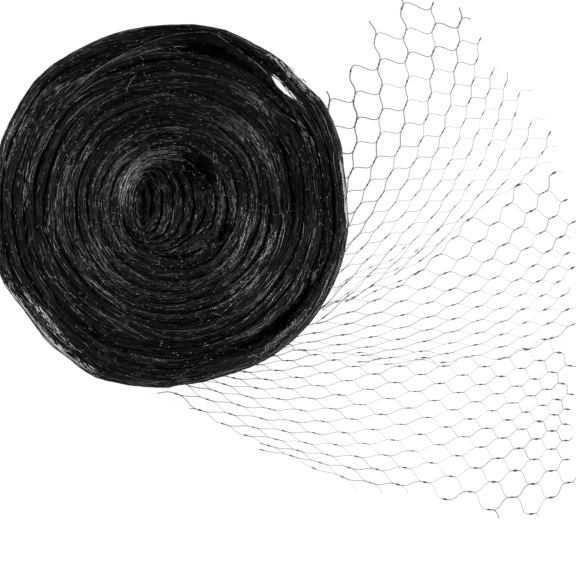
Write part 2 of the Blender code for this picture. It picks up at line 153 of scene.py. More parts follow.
def add_piece(name, places, face_groups, materials, values=None, slots=None):
    """Put places and groups of faces, each an array with one row a face, into a new smooth object.

    values holds named numbers, one for each place, for the material to read.
    """
    sizes = np.concatenate([np.full(len(group), group.shape[1]) for group in face_groups])
    corners = np.concatenate([group.ravel() for group in face_groups])
    starts = np.concatenate(([0], np.cumsum(sizes)[:-1]))
    mesh = bpy.data.meshes.new(name)
    mesh.vertices.add(len(places))
    mesh.vertices.foreach_set("co", places.astype(np.float32).ravel())
    mesh.loops.add(len(corners))
    mesh.loops.foreach_set("vertex_index", corners.astype(np.int32))
    mesh.polygons.add(len(sizes))
    mesh.polygons.foreach_set("loop_start", starts.astype(np.int32))
    mesh.polygons.foreach_set("use_smooth", np.ones(len(sizes), bool))
    for material in materials:
        mesh.materials.append(material)
    if slots is not None:
        mesh.polygons.foreach_set("material_index", slots.astype(np.int32))
    mesh.update(calc_edges=True)
    mesh.validate()
    for key, numbers in (values or {}).items():
        layer = mesh.attributes.new(key, "FLOAT", "POINT")
        layer.data.foreach_set("value", numbers.astype(np.float32).ravel())
    piece = bpy.data.objects.new(name, mesh)
    bpy.context.collection.objects.link(piece)
    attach(piece, "root")
    print(name, "has", int((sizes - 2).sum()), "triangles")
    return piece


def unit(vectors):
    """Vectors shortened to length one."""
    return vectors / np.maximum(np.linalg.norm(vectors, axis=-1, keepdims=True), 1e-12)


def tubes(paths, radii, sides, outward):
    """Tubes along paths, an array of strands by points by coordinates.

    Each ring place is the path's place plus the radius times (cos a across + sin a over), where a goes once
    round. across is square to the path and to outward, and over is square to both.
    """
    strands, points = paths.shape[:2]
    along = unit(np.gradient(paths, axis=1))
    across = unit(np.cross(along, np.broadcast_to(outward, paths.shape)))
    over = np.cross(across, along)
    angle = 2.0 * np.pi * np.arange(sides) / sides
    ring = np.cos(angle)[:, None] * across[:, :, None] + np.sin(angle)[:, None] * over[:, :, None]
    radii = np.broadcast_to(radii, (strands, points))
    places = paths[:, :, None] + radii[:, :, None, None] * ring
    number = np.arange(strands * points * sides).reshape(strands, points, sides)
    after = np.roll(number, -1, axis=2)
    sides_faces = np.stack((number[:, :-1], number[:, 1:], after[:, 1:], after[:, :-1]), axis=-1)
    caps = np.concatenate((number[:, 0], number[:, -1, ::-1]))
    return places.reshape(-1, 3), [sides_faces.reshape(-1, 4), caps]


def per_place(numbers, points, sides):
    """One number a strand, repeated for each place of its tube."""
    return np.repeat(numbers, points * sides)


def sines(waves, count, angle):
    """Sum of size x sin(waves round x angle + drift a turn x count + start) over the rows of a table."""
    return sum(size * np.sin(around * angle + drift * count + start) for size, around, drift, start in waves)


# %% [markdown]
# The roll's shape is a spiral. Counting turns outward from the middle, a place's radius grows by one pitch
# a turn. A turn rises to a crown halfway across and drops to a valley at each side. The well in the middle
# has smaller turns that sit lower and lean to the left. The main sizes are the solid's own, and a few small
# hollows come on top of them.

# %% The wound turns
ROLL_HEIGHT = 75.0 * MM
ROLL_START_RADIUS = 107.5 * MM
TURN_PITCH = 6.8 * MM
WELL_TURNS = 7                 # the smaller turns, whose crowns step down into the well
HUB_TURNS = 1                  # the smallest turn, at the bottom of the well
OUTER_TURNS = 11
ALL_TURNS = WELL_TURNS + OUTER_TURNS
WELL_TURN_PITCH = 4.0 * MM
WELL_SHIFT = 2.6 * MM          # how far each turn of the well lies to the left of the one round it
WELL_STEP = 2.4 * MM           # and how much lower
WELL_EDGE_RADIUS = ROLL_START_RADIUS - OUTER_TURNS * TURN_PITCH
SEAM_ANGLE = math.radians(270.0)     # where the spiral ends, on its last turn
TAPER_ANGLE = math.radians(34.0)     # over which the last turn thins out before the seam
TAPER_LEAST = 0.22             # and what is left of its thickness there
CROWN_POWER = 2.6
VALLEY_DEPTH = 4.0 * MM
WELL_VALLEY_DEPTH = 5.0 * MM
WELL_STRETCH = 0.028           # how much longer the smaller turns are along Y, by the turns inside squared
SHOULDER_DROP = 2.6 * MM
CROWN_WAVE = 0.9 * MM
CROWN_WAVES_ROUND = 2
CROWN_WAVE_DRIFT = 2.3
VALLEY_MEAN = 0.85
VALLEY_RANGE = (0.25, 1.7)
VALLEY_WAVES = (
    # size, waves round, drift a turn, start
    (0.40, 2.0, 1.9, 0.5), (0.35, 5.0, -1.1, 3.0),
)
WANDER = (
    # size_mm, waves round, drift a turn, start
    (0.50, 3.0, 1.3, 0.0), (0.40, 5.0, -0.9, 2.0), (0.28, 9.0, 2.3, 4.0),
)
WANDER_FROM = 8.0              # turns over which the wander grows from the middle outward
WANDER_TO = 2.0                # turns over which it dies away again toward the rim
RIM_FADE = 3                   # the power with which the rim's shape dies away inward

# How far the rim stands out of a true spiral, by direction.
RIM = (
    # angle_deg, out_mm
    (0, -2.5), (12, -2.8), (22, -0.5), (35, 2.0), (45, 0.5), (53, 1.6), (65, 0.0), (90, -1.3),
    (115, -1.2), (135, 0.1), (152, -2.5), (180, -2.2), (203, -0.8), (216, -3.2), (236, -1.8),
    (248, 1.0), (270, 1.5), (287, 0.3), (305, 1.7), (320, 1.3), (340, 0.1), (352, -0.9),
)
STRAND_ROOM = 1.0 * MM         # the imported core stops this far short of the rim, for the wall's strands

# Main twists: where a turn bulges out, is pressed in, stands up or leaves a hollow.
TWISTS = (
    # angle_deg, radius_mm, half_angle_deg, reach_mm, out_mm, up_mm
    (47, 103, 13, 8, -3.2, 0.0),
    (77, 103, 10, 7, 3.0, 0.6),
    (76, 97.6, 12, 4.0, 0.0, -14.0),
    (64, 96.2, 8, 1.8, 0.0, -4.0),
    (59, 100.7, 9, 1.3, 0.0, 1.2),
    (92, 108, 14, 2.6, 0.0, -2.6),
    (62, 105, 9, 2.6, 0.0, -1.8),
    (330, 36.5, 11, 2.4, 0.0, -6.0),
    (215, 29.8, 22, 1.8, 0.0, -5.0),
    (268, 32.0, 24, 1.8, 0.0, -3.5),
    (110, 96, 15, 8, -2.6, 0.8),
    (150, 101, 24, 8, 2.4, 0.8),
    (205, 93, 40, 5, 0.0, -2.4),
    (318, 98, 14, 3.6, 0.0, -9.0),
    (297, 96.5, 16, 2.2, 0.0, -4.0),
    (300, 54, 60, 5, 1.0, -1.6),
    (60, 49, 50, 5, -0.8, -1.6),
    (155, 62, 34, 6, 1.4, -1.2),
    (20, 78, 30, 6, 1.6, 1.0),
    (250, 76, 26, 6, -1.4, 1.0),
)
print("turns:", ALL_TURNS, "main twists:", len(TWISTS))

# %% [markdown]
# A place of the lay is named by its direction and its turn count. The count says how many turns have been
# wound when the spiral comes by: whole numbers lie in the valleys, halves on the crowns. At the seam the
# last turn ends, so it thins out just before.

# %% Counting turns
def eased(share):
    """A share from 0 to 1 that starts and stops gently."""
    share = np.clip(share, 0.0, 1.0)
    return share * share * (3.0 - 2.0 * share)


def rim_offset(angle):
    """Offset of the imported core's rim at some angles, eased from one row of RIM to the next."""
    known = np.array([row[0] for row in RIM] + [RIM[0][0] + 360.0])
    value = np.array([row[1] for row in RIM] + [RIM[0][1]]) * MM
    degrees = np.mod(np.degrees(angle), 360.0)
    segment = np.clip(np.searchsorted(known, degrees, side="right") - 1, 0, len(RIM) - 1)
    ease = eased((degrees - known[segment]) / (known[segment + 1] - known[segment]))
    return value[segment] * (1.0 - ease) + value[segment + 1] * ease - STRAND_ROOM


def seam_share(angle):
    """How far round from the seam a direction is, from 0 to 1."""
    return np.mod((angle - SEAM_ANGLE) / (2.0 * np.pi), 1.0)


def thinning(angle):
    """How much of the outermost turn's thickness is missing; it thins out toward the seam."""
    before_seam = (1.0 - seam_share(angle)) * 2.0 * np.pi
    return (1.0 - TAPER_LEAST) * eased(1.0 - before_seam / TAPER_ANGLE)


def outer_count(angle):
    """The turn count of the rim, by direction."""
    return ALL_TURNS + seam_share(angle) - thinning(angle)


def strand_count(wound, across):
    """The turn count of a strand that has been wound so many turns and lies so far across its turn."""
    angle = SEAM_ANGLE + 2.0 * np.pi * wound
    thin = np.where(wound >= ALL_TURNS - 1, 1.0 - thinning(angle), 1.0)
    return wound + across * thin


def across_turn(count, angle):
    """How far across its own turn a place lies, from 0 to 1."""
    share = seam_share(angle)
    last = count - (ALL_TURNS - 1) - share
    in_last = last / (1.0 - thinning(angle))
    return np.where(last > 0.0, np.clip(in_last, 0.0, 1.0), np.mod(count - share, 1.0))


print("turn count of the rim on the right and on the left:", outer_count(np.array((0.0, np.pi))).round(2))

# %% [markdown]
# The turn count and the direction give the radius and the height. Both start from the plain spiral, and slow
# waves and the main twists move the lay away from it.

# %% Places of the lay
def lay_shift(count, angle):
    """How far the turns wander in and out of a true spiral: a sum of three slow sines."""
    fade = eased(count / WANDER_FROM) * eased((ALL_TURNS - count) / WANDER_TO)
    return sines(WANDER, count, angle) * fade * MM


def valley_strength(count, angle):
    """How deep the valleys are, from shallow where turns lie snug to deep where they part."""
    return np.clip(VALLEY_MEAN + sines(VALLEY_WAVES, count, angle), *VALLEY_RANGE)


def nearness(radius, angle, middle_angle, middle_radius, half_angle, reach):
    """How near places are to a named one: exp(-a a - b b).

    a is the distance along the radius over the reach, and b the angle between them over the half angle.
    """
    off_radius = (radius / MM - middle_radius) / reach
    off_angle = (np.mod(np.degrees(angle) - middle_angle + 180.0, 360.0) - 180.0) / half_angle
    return np.exp(-off_radius ** 2 - off_angle ** 2)


def lay_place(count, angle):
    """Radius by turn count and direction, and how far the main twists raise the lay there.

    The radius is the well's edge plus a pitch for each turn outside it, or less the smaller pitch for each
    turn inside it. The rim's shape, the wander and the twists' own pushes come on top.
    """
    inside = np.maximum(WELL_TURNS - count, 0.0)
    outside = np.maximum(count - WELL_TURNS, 0.0)
    radius = WELL_EDGE_RADIUS + outside * TURN_PITCH - inside * WELL_TURN_PITCH
    radius = np.maximum(radius, 0.0)
    radius = radius + rim_offset(angle) * (radius / ROLL_START_RADIUS) ** RIM_FADE
    radius = radius + lay_shift(count, angle)
    out = 0.0
    up = 0.0
    for twist_angle, twist_radius, half_angle, reach, push, raise_by in TWISTS:
        weight = nearness(radius, angle, twist_angle, twist_radius, half_angle, reach)
        out = out + push * MM * weight
        up = up + raise_by * MM * weight
    return radius + out, up


def top_place(count, angle, lift=0.0):
    """Places on the roll's top, by turn count and direction.

    The height is the roll's, less a step for each turn inside the well's edge, less the valley's depth times
    a power of the distance from the crown. A slow wave and the twists' own rises come on top.
    """
    count, angle = np.broadcast_arrays(np.asarray(count, float), angle)
    radius, up = lay_place(count, angle)
    radius = radius + slit_push(radius, angle)

    inside = np.maximum(WELL_TURNS - count, 0.0)
    across = across_turn(count, angle)
    off_crown = np.abs(2.0 * across - 1.0)
    depth = np.where(count < WELL_TURNS, WELL_VALLEY_DEPTH, VALLEY_DEPTH)
    depth = depth * valley_strength(count, angle)
    outermost = count - seam_share(angle) > ALL_TURNS - 1
    depth = np.where(outermost & (across > 0.5), SHOULDER_DROP, depth)
    inside = np.minimum(inside, WELL_TURNS + HUB_TURNS)
    depth = depth * eased(count + HUB_TURNS)
    height = ROLL_HEIGHT - WELL_STEP * inside - depth * off_crown ** CROWN_POWER
    wave = np.sin(CROWN_WAVE_DRIFT * count + CROWN_WAVES_ROUND * angle)
    height = height + CROWN_WAVE * wave * eased(count - WELL_TURNS)

    x = radius * np.cos(angle) - WELL_SHIFT * inside
    y = radius * np.sin(angle) * (1.0 + WELL_STRETCH * inside ** 2)
    return np.stack((x, y, height + up + lift), axis=-1)


# %% [markdown]
# At one place on the upper right the outermost turn stands off the rest, and the table shows through. The
# lay is parted there: everything near the slit's middle line moves away from it, most at the line itself.

# %% The slit
SLIT_ANGLE = math.radians(46.5)
SLIT_TURNS_IN = 1.10           # how far inside the rim the slit lies, in turns
SLIT_HALF_ANGLE = math.radians(7.4)
SLIT_WIDTH = 4.6 * MM
SLIT_SKEW = 0.30               # how much wider the slit is toward its upper end
SLIT_TAPER = 1.7               # the higher, the longer the slit's pointed ends
SLIT_REACH = 4.5 * MM


def slit_line(angle):
    """Radius of the slit's middle line, which stays the same number of turns inside the rim."""
    return lay_place(outer_count(angle) - SLIT_TURNS_IN, angle)[0]


def slit_half_width(angle):
    """Half the slit's width by direction: a lens with nothing at its ends and a fuller upper half."""
    off = (np.mod(angle - SLIT_ANGLE + np.pi, 2.0 * np.pi) - np.pi) / SLIT_HALF_ANGLE
    lens = np.clip(1.0 - off * off, 0.0, 1.0) ** SLIT_TAPER
    return 0.5 * SLIT_WIDTH * lens * (1.0 + SLIT_SKEW * off)


def slit_push(radius, angle):
    """Radial move that parts the lay on both sides of the slit."""
    away = radius - slit_line(angle)
    side = np.where(away >= 0.0, 1.0, -1.0)
    return side * slit_half_width(angle) * np.exp(-np.abs(away) / SLIT_REACH)


print("slit's radius, mm:", (slit_line(np.array([SLIT_ANGLE])) / MM).round(1))

# %% [markdown]
# The wall is the outer side of the last turn: gathered netting, 75 mm wide, in long soft folds. It is read
# from a short table of heights, with a wave that wanders as it goes round. Below, it tucks in to the part
# that the roll rests on.

# %% The wall and the underside
WALL_ROWS = (
    # height_mm, inset_mm from the rim, wave_mm
    (0.0, 9.6, 0.0), (3.6, 4.8, 0.0), (8.0, 1.4, 0.3), (19.0, -0.7, 0.8), (31.0, 0.9, 1.0),
    (45.0, -1.2, 0.9), (57.0, 0.9, 0.9), (67.0, -0.8, 0.5), (72.4, 0.0, 0.0),
)
WALL_WAVES_ROUND = 5
WALL_WAVE_DRIFT = 0.9          # radians a millimetre of height
WALL_RISE = 2.0                # how far the folds go up and down, as a share of their wave
WALL_RISE_PACE = 0.6
WALL_TOP = ROLL_HEIGHT - SHOULDER_DROP
FOOT_INSET = 9.6 * MM
GROOVE_DEPTH = 1.6 * MM        # the valleys between turns, seen from below
GROOVE_POWER = 4
SLIT_FOOT = 6.0 * MM           # below this the slit parts the foot of the wall


def rim_radius(angle):
    """Radius of the shoulder by direction."""
    place = top_place(outer_count(angle), angle)
    return np.hypot(place[..., 0], place[..., 1])


def wall_place(height, angle, out=0.0):
    """Places on the wall by height and direction: the rim's radius less the inset and the wave."""
    height, angle = np.broadcast_arrays(np.asarray(height, float), angle)
    known = [row[0] for row in WALL_ROWS]
    inset = np.interp(height / MM, known, [row[1] for row in WALL_ROWS])
    wave = np.interp(height / MM, known, [row[2] for row in WALL_ROWS])
    turned = np.mod(angle + np.pi, 2.0 * np.pi) - np.pi
    phase = WALL_WAVES_ROUND * turned + WALL_WAVE_DRIFT * height / MM
    radius = rim_radius(angle) - (inset + wave * np.sin(phase)) * MM + out
    radius = radius + slit_push(radius, angle) * (height < SLIT_FOOT)
    level = height + WALL_RISE * wave * np.cos(WALL_RISE_PACE * phase) * MM
    return np.stack((radius * np.cos(angle), radius * np.sin(angle), level), axis=-1)


def under_place(radius, angle):
    """Places on the underside: flat on the floor, with a groove under each valley of the spiral."""
    radius, angle = np.broadcast_arrays(np.asarray(radius, float), angle)
    count = WELL_TURNS + (radius - WELL_EDGE_RADIUS) / TURN_PITCH
    across = np.mod(count - seam_share(angle), 1.0)
    groove = np.abs(2.0 * across - 1.0) ** GROOVE_POWER
    edge = eased((rim_radius(angle) - FOOT_INSET - radius) / TURN_PITCH)
    height = GROOVE_DEPTH * groove * edge * eased(radius / WELL_EDGE_RADIUS)
    radius = radius + slit_push(radius, angle)
    return np.stack((radius * np.cos(angle), radius * np.sin(angle), height), axis=-1)


# %% [markdown]
# Handling has left some bundles glossy and has opened hollows between others. They are noted by direction
# and by distance from the middle. Two functions read the notes at any place of the top: how many of the
# strands there are glossy, and how deep in the hollows the place lies. Both also paint light into the
# strands' colour: a paler shade as a painted highlight in the glossy places, and a darker one as painted
# shade in the hollows.

# %% Glossy and dark places
GLOSS_BASE = 0.17              # share of glossy strands where nothing is noted
GLOSS_MOST = 0.9
GLOSS_WAVE = 0.07
GLOSS_WAVES = ((0.21, 0.17), (0.13, -0.24))     # radians a millimetre along X and Y
GLOSSY_PLACES = (
    # angle_deg, radius_mm, half_angle_deg, reach_mm, share more
    (91, 99.5, 5, 2.4, 0.6), (118, 93, 16, 1.6, 0.5), (134, 98.5, 6, 2.4, 0.6),
    (153, 103.3, 13, 1.6, 0.6), (134, 79.5, 11, 2.5, 0.4), (178, 69, 9, 4, 0.35), (193, 85, 6, 1.8, 0.6),
    (200, 49, 11, 2.2, 0.5), (208, 63, 9, 4, 0.35), (224, 51, 10, 3, 0.4), (48, 64, 10, 5, 0.6),
    (51, 82, 8, 4, 0.4), (14, 65, 10, 4, 0.35), (52, 38, 12, 2.5, 0.5), (32, 57, 9, 3, 0.35),
    (24, 92, 8, 2.5, 0.35), (314, 51, 11, 3, 0.45), (312, 68, 9, 4, 0.45), (314, 79, 8, 2.5, 0.4),
    (334, 97.2, 5, 1.6, 0.9), (326, 94.2, 6, 1.8, 0.9), (316, 94.2, 7, 1.5, 0.8), (303, 92, 8, 1.8, 0.8),
    (314, 104, 6, 2.4, 0.5), (303, 106, 8, 3, 0.4), (166, 30, 22, 3.0, 0.8), (120, 31, 34, 4.0, 1.1),
    (138, 40, 18, 2.2, 0.4), (287, 25, 30, 3, 0.2), (340, 31, 16, 3, 0.25), (45, 109, 6, 3, 0.6),
    (55, 109, 6, 2.5, 0.4), (39, 101, 5, 3, 0.6), (30, 105, 6, 3, 0.3), (59, 100.9, 8, 0.9, 0.9),
)
HOLLOWS = (
    # angle_deg, radius_mm, half_angle_deg, reach_mm, share of the strands buried and of the painted shade
    (77, 97.6, 12, 4.2, 1.0), (64, 96.2, 8, 1.8, 0.8), (90, 108, 13, 2.5, 0.6), (60, 104.2, 7, 1.6, 0.6),
    (0, 78, 22, 7, 0.15), (162, 80, 9, 3, 0.3), (237, 91, 24, 3, 0.3), (318, 98, 15, 3.4, 0.8),
    (297, 96.5, 16, 2, 0.55), (50, 24, 36, 9, 0.26), (352, 98, 16, 6, 0.15), (0, 12, 60, 14, 0.08),
    (325, 26, 22, 8, 0.15), (330, 36.5, 11, 3, 0.7), (56, 32, 26, 5, 0.55), (217, 29.8, 24, 1.8, 0.7),
    (268, 32, 24, 1.8, 0.6), (153, 99.5, 13, 1.6, 0.3),
)


def noted(table, x, y):
    """Sum of a table's shares, each weighted with the place's nearness to its row."""
    radius = np.hypot(x, y)
    angle = np.arctan2(y, x)
    return sum(share * nearness(radius, angle, *place) for *place, share in table)


def gloss_share(x, y):
    """Share of glossy strands near a place: a base, two slow waves and the notes, less in the hollows."""
    waves = sum(np.sin((along_x * x + along_y * y) / MM) for along_x, along_y in GLOSS_WAVES)
    share = GLOSS_BASE + GLOSS_WAVE * waves + noted(GLOSSY_PLACES, x, y) - noted(HOLLOWS, x, y)
    return np.clip(share, 0.0, GLOSS_MOST)


def hollow_share(x, y):
    """How deep in the named hollows a place lies, which is also how much painted shade it gets: 0 in the
    open, 1 at the bottom of the deepest.
    """
    return np.clip(noted(HOLLOWS, x, y), 0.0, 1.0)


print("glossy places:", len(GLOSSY_PLACES), "hollows:", len(HOLLOWS))

# %% [markdown]
# Packed netting is not a smooth black solid: even in the valleys there are strands. The core of the roll
# is a closed skin with the turns' shape, and its material draws fine streaks along the lay. A streak needs
# a coordinate that runs across the lay and hardly changes along it, so each place of the skin keeps its
# distance across the lay as a number, and a noise reads that much faster than it reads the place itself.

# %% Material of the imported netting
STREAKS_ALONG = 28.0           # noise to a metre along the lay
STREAKS_ACROSS = 1500.0        # and across it
STREAK_RANGE = (0.42, 0.72)    # stretch of that noise over which the colour changes
STREAK_DARK = (0.001, 0.001, 0.0011, 1.0)
STREAK_LIGHT = (0.007, 0.007, 0.0074, 1.0)
STREAK_ROUGHNESS = (0.7, 0.4)  # where the noise is 0 and where it is 1
STREAK_STRENGTH = 0.9
STREAK_DEPTH = 0.6 * MM


def node(tree, kind, place, **settings):
    """A new node with some of its settings."""
    made = tree.nodes.new(kind)
    made.location = place
    for key, value in settings.items():
        setattr(made, key, value)
    return made


def packed_material(name, specular):
    """Near-black plastic with streaks along the lay; the less specular, the less it mirrors the room."""
    material = bpy.data.materials.new(name)
    material.use_nodes = True
    tree = material.node_tree
    shader = tree.nodes["Principled BSDF"]
    shader.inputs["Specular IOR Level"].default_value = specular
    place = node(tree, "ShaderNodeTexCoord", (-1200, 0))
    slow = node(tree, "ShaderNodeVectorMath", (-1000, 0), operation="SCALE")
    slow.inputs["Scale"].default_value = STREAKS_ALONG
    across = node(tree, "ShaderNodeAttribute", (-1200, -250), attribute_name="across_lay")
    fast = node(tree, "ShaderNodeMath", (-1000, -250), operation="MULTIPLY")
    fast.inputs[1].default_value = STREAKS_ACROSS
    streaks = node(tree, "ShaderNodeTexNoise", (-700, 0), noise_dimensions="4D")
    streaks.inputs["Scale"].default_value = 1.0
    streaks.inputs["Detail"].default_value = 3.0
    tree.links.new(place.outputs["Object"], slow.inputs[0])
    tree.links.new(slow.outputs[0], streaks.inputs["Vector"])
    tree.links.new(across.outputs["Fac"], fast.inputs[0])
    tree.links.new(fast.outputs[0], streaks.inputs["W"])
    ramp = node(tree, "ShaderNodeValToRGB", (-450, 100))
    ramp.color_ramp.elements[0].position = STREAK_RANGE[0]
    ramp.color_ramp.elements[0].color = STREAK_DARK
    ramp.color_ramp.elements[1].position = STREAK_RANGE[1]
    ramp.color_ramp.elements[1].color = STREAK_LIGHT
    tree.links.new(streaks.outputs["Fac"], ramp.inputs["Fac"])
    tree.links.new(ramp.outputs["Color"], shader.inputs["Base Color"])
    rough = node(tree, "ShaderNodeMapRange", (-450, -150))
    rough.inputs["To Min"].default_value = STREAK_ROUGHNESS[0]
    rough.inputs["To Max"].default_value = STREAK_ROUGHNESS[1]
    tree.links.new(streaks.outputs["Fac"], rough.inputs["Value"])
    tree.links.new(rough.outputs["Result"], shader.inputs["Roughness"])
    bump = node(tree, "ShaderNodeBump", (-250, -350))
    bump.inputs["Strength"].default_value = STREAK_STRENGTH
    bump.inputs["Distance"].default_value = STREAK_DEPTH
    tree.links.new(streaks.outputs["Fac"], bump.inputs["Height"])
    tree.links.new(bump.outputs["Normal"], shader.inputs["Normal"])
    return material


packed_netting = packed_material("packed_netting", specular=0.35)
# The second netting paints the shade at the bottom of the hollows: it mirrors almost nothing.
hollow_shade_netting = packed_material("hollow_shade_netting", specular=0.03)

# %% [markdown]
# The skin is one grid round the roll's axis. Its rows run from the hub over the top, down the wall and in
# along the underside to the hub again. Two rows meet the slit: there the faces between them are left out
# and a small wall joins the top's edge of the slit to the underside's.

# %% Skin of the roll
COLUMNS = 360
TOP_ROWS = 150
WALL_STEPS = 22
UNDER_ROWS = 64
HUB_RADIUS = 1.0 * MM
SHADE_PAINTED_FROM = 0.3                # hollows deeper than that get the netting that paints their shade


def skin_rows():
    """The skin's places by row and column, their distance across the lay and the columns' directions."""
    angle = np.linspace(0.0, 2.0 * np.pi, COLUMNS, endpoint=False)[None, :]
    hub_count = WELL_TURNS - (WELL_EDGE_RADIUS - HUB_RADIUS) / WELL_TURN_PITCH
    share = np.linspace(0.0, 1.0, TOP_ROWS)[:, None]
    count = hub_count + share * (outer_count(angle) - hub_count)
    top = top_place(count, angle)
    top_lay = count * TURN_PITCH

    height = np.linspace(1.0, 0.0, WALL_STEPS + 1)[1:, None] * WALL_TOP
    wall = wall_place(height, angle)
    wall_lay = ALL_TURNS * TURN_PITCH + WALL_TOP - height + 0.0 * angle

    inward = np.linspace(1.0, 0.0, UNDER_ROWS + 1)[1:-1, None]
    radius = HUB_RADIUS + inward * (rim_radius(angle) - FOOT_INSET - HUB_RADIUS)
    under = under_place(radius, angle)
    under_lay = radius + 0.0 * angle
    places = np.concatenate((top, wall, under))
    lay = np.concatenate((top_lay, wall_lay, under_lay))
    return places, lay, angle[0]


def build_skin():
    """Close the grid at both hubs and cut the slit through it."""
    places, lay, angle = skin_rows()
    rows = len(places)
    number = np.arange(rows * COLUMNS).reshape(rows, COLUMNS)
    after = np.roll(number, -1, axis=1)
    faces = np.stack((number[:-1], number[1:], after[1:], after[:-1]), axis=-1)

    # The slit lies between the two rows nearest to its radius, on the top and at the foot.
    middle = int(np.argmin(np.abs(angle - SLIT_ANGLE)))
    radius = np.hypot(places[:, middle, 0], places[:, middle, 1])
    line = slit_line(angle[middle:middle + 1])[0]
    top_row = int(np.flatnonzero(radius[:TOP_ROWS] < line)[-1])
    foot_row = TOP_ROWS + int(np.flatnonzero(radius[TOP_ROWS:] > line)[-1])
    columns = np.flatnonzero(slit_half_width(angle) > 0.0)
    first, last = columns[0], columns[-1]
    keep = np.ones(faces.shape[:2], bool)
    keep[[top_row, foot_row], first:last] = False
    upper = np.concatenate((number[top_row, first:last + 1], number[top_row + 1, first:last + 1][::-1]))
    lower = np.concatenate((number[foot_row + 1, first:last + 1], number[foot_row, first:last + 1][::-1]))
    slit_wall = np.stack((upper, lower, np.roll(lower, -1), np.roll(upper, -1)), axis=-1)

    # The hubs: a place in the middle of the first row and one in the middle of the last.
    hubs = np.stack((places[0].mean(axis=0), places[-1].mean(axis=0)))
    top_hub = np.full(COLUMNS, rows * COLUMNS)
    cap_top = np.stack((top_hub, number[0], after[0]), axis=-1)
    cap_under = np.stack((top_hub + 1, after[-1], number[-1]), axis=-1)
    all_places = np.concatenate((places.reshape(-1, 3), hubs))
    all_lay = np.concatenate((lay.ravel(), lay[0, :1], lay[-1, :1]))
    groups = [np.concatenate((faces[keep], slit_wall)), np.concatenate((cap_top, cap_under))]
    # Painted shade: faces of the top in the hollows take the netting that mirrors almost nothing.
    painted_dark = np.zeros(faces.shape[:2], int)
    painted_dark[:TOP_ROWS] = hollow_share(places[:TOP_ROWS, :, 0], places[:TOP_ROWS, :, 1]) > SHADE_PAINTED_FROM
    slots = np.concatenate((painted_dark[keep], np.zeros(len(slit_wall) + 2 * COLUMNS, int)))
    materials = [packed_netting, hollow_shade_netting]
    return add_piece("roll_skin", all_places, groups, materials, {"across_lay": all_lay}, slots)


roll_skin = build_skin()
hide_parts("roll")

# %% [markdown]
# The strands are what the eye reads as netting, and they have a plastic of their own. Each strand keeps its
# own shade, and a fine noise makes it glossier in some places than in others. There are three: a near-black
# one that paints the shade at the bottom of the hollows, a dull one, and a glossy one whose paler colours
# also paint highlights.

# %% Material of the strands
WORN_SCALE = 420.0             # noise to a metre
WORN_RANGE = (0.3, 0.7)        # stretch of that noise over which the roughness changes
GLOSSIER = 0.12                # how far the roughness falls where the noise is low
DULLER = 0.15                  # and rises where it is high
SCRATCH_STRENGTH = 0.35
SCRATCH_DEPTH = 0.2 * MM
DARK_BLUE = 1.05               # black plastic is a touch blue
LIGHT_BLUE = 1.02


def strand_material(name, dark, light, roughness, specular):
    """Black extruded plastic, drawn between a dark and a light colour. Each strand keeps its own shade, into
    which painted sheen, highlights and shade go, and the gloss varies along it.
    """
    material = bpy.data.materials.new(name)
    material.use_nodes = True
    tree = material.node_tree
    shader = tree.nodes["Principled BSDF"]
    shader.inputs["Specular IOR Level"].default_value = specular
    shade = node(tree, "ShaderNodeAttribute", (-900, 200), attribute_name="shade")
    ramp = node(tree, "ShaderNodeValToRGB", (-600, 200))
    ramp.color_ramp.elements[0].color = (dark, dark, dark * DARK_BLUE, 1.0)
    ramp.color_ramp.elements[1].color = (light, light, light * LIGHT_BLUE, 1.0)
    tree.links.new(shade.outputs["Fac"], ramp.inputs["Fac"])
    tree.links.new(ramp.outputs["Color"], shader.inputs["Base Color"])
    place = node(tree, "ShaderNodeTexCoord", (-1100, -100))
    worn = node(tree, "ShaderNodeTexNoise", (-900, -100))
    worn.inputs["Scale"].default_value = WORN_SCALE
    worn.inputs["Detail"].default_value = 2.0
    tree.links.new(place.outputs["Object"], worn.inputs["Vector"])
    gloss = node(tree, "ShaderNodeMapRange", (-600, -100))
    gloss.inputs["From Min"].default_value = WORN_RANGE[0]
    gloss.inputs["From Max"].default_value = WORN_RANGE[1]
    gloss.inputs["To Min"].default_value = roughness - GLOSSIER
    gloss.inputs["To Max"].default_value = roughness + DULLER
    tree.links.new(worn.outputs["Fac"], gloss.inputs["Value"])
    tree.links.new(gloss.outputs["Result"], shader.inputs["Roughness"])
    bump = node(tree, "ShaderNodeBump", (-300, -300))
    bump.inputs["Strength"].default_value = SCRATCH_STRENGTH
    bump.inputs["Distance"].default_value = SCRATCH_DEPTH
    tree.links.new(worn.outputs["Fac"], bump.inputs["Height"])
    tree.links.new(bump.outputs["Normal"], shader.inputs["Normal"])
    return material


# The first paints the shade at the bottom of the hollows. The glossy one has real gloss, and its paler
# colours also paint highlights.
hollow_shade_strand = strand_material("hollow_shade_strand", dark=0.0004, light=0.003, roughness=0.60, specular=0.03)
dull_strand = strand_material("dull_strand", dark=0.0006, light=0.014, roughness=0.40, specular=0.18)
glossy_highlight_strand = strand_material("glossy_highlight_strand", dark=0.010, light=0.140, roughness=0.24, specular=1.0)

# %% [markdown]
# Each strand follows the lay for a few centimetres, drifts a little across its turn, arches up in the middle
# and dives under its neighbours at both ends. Slow waves, shared by all the strands near a place, gather
# them into tufts, with dark partings between.

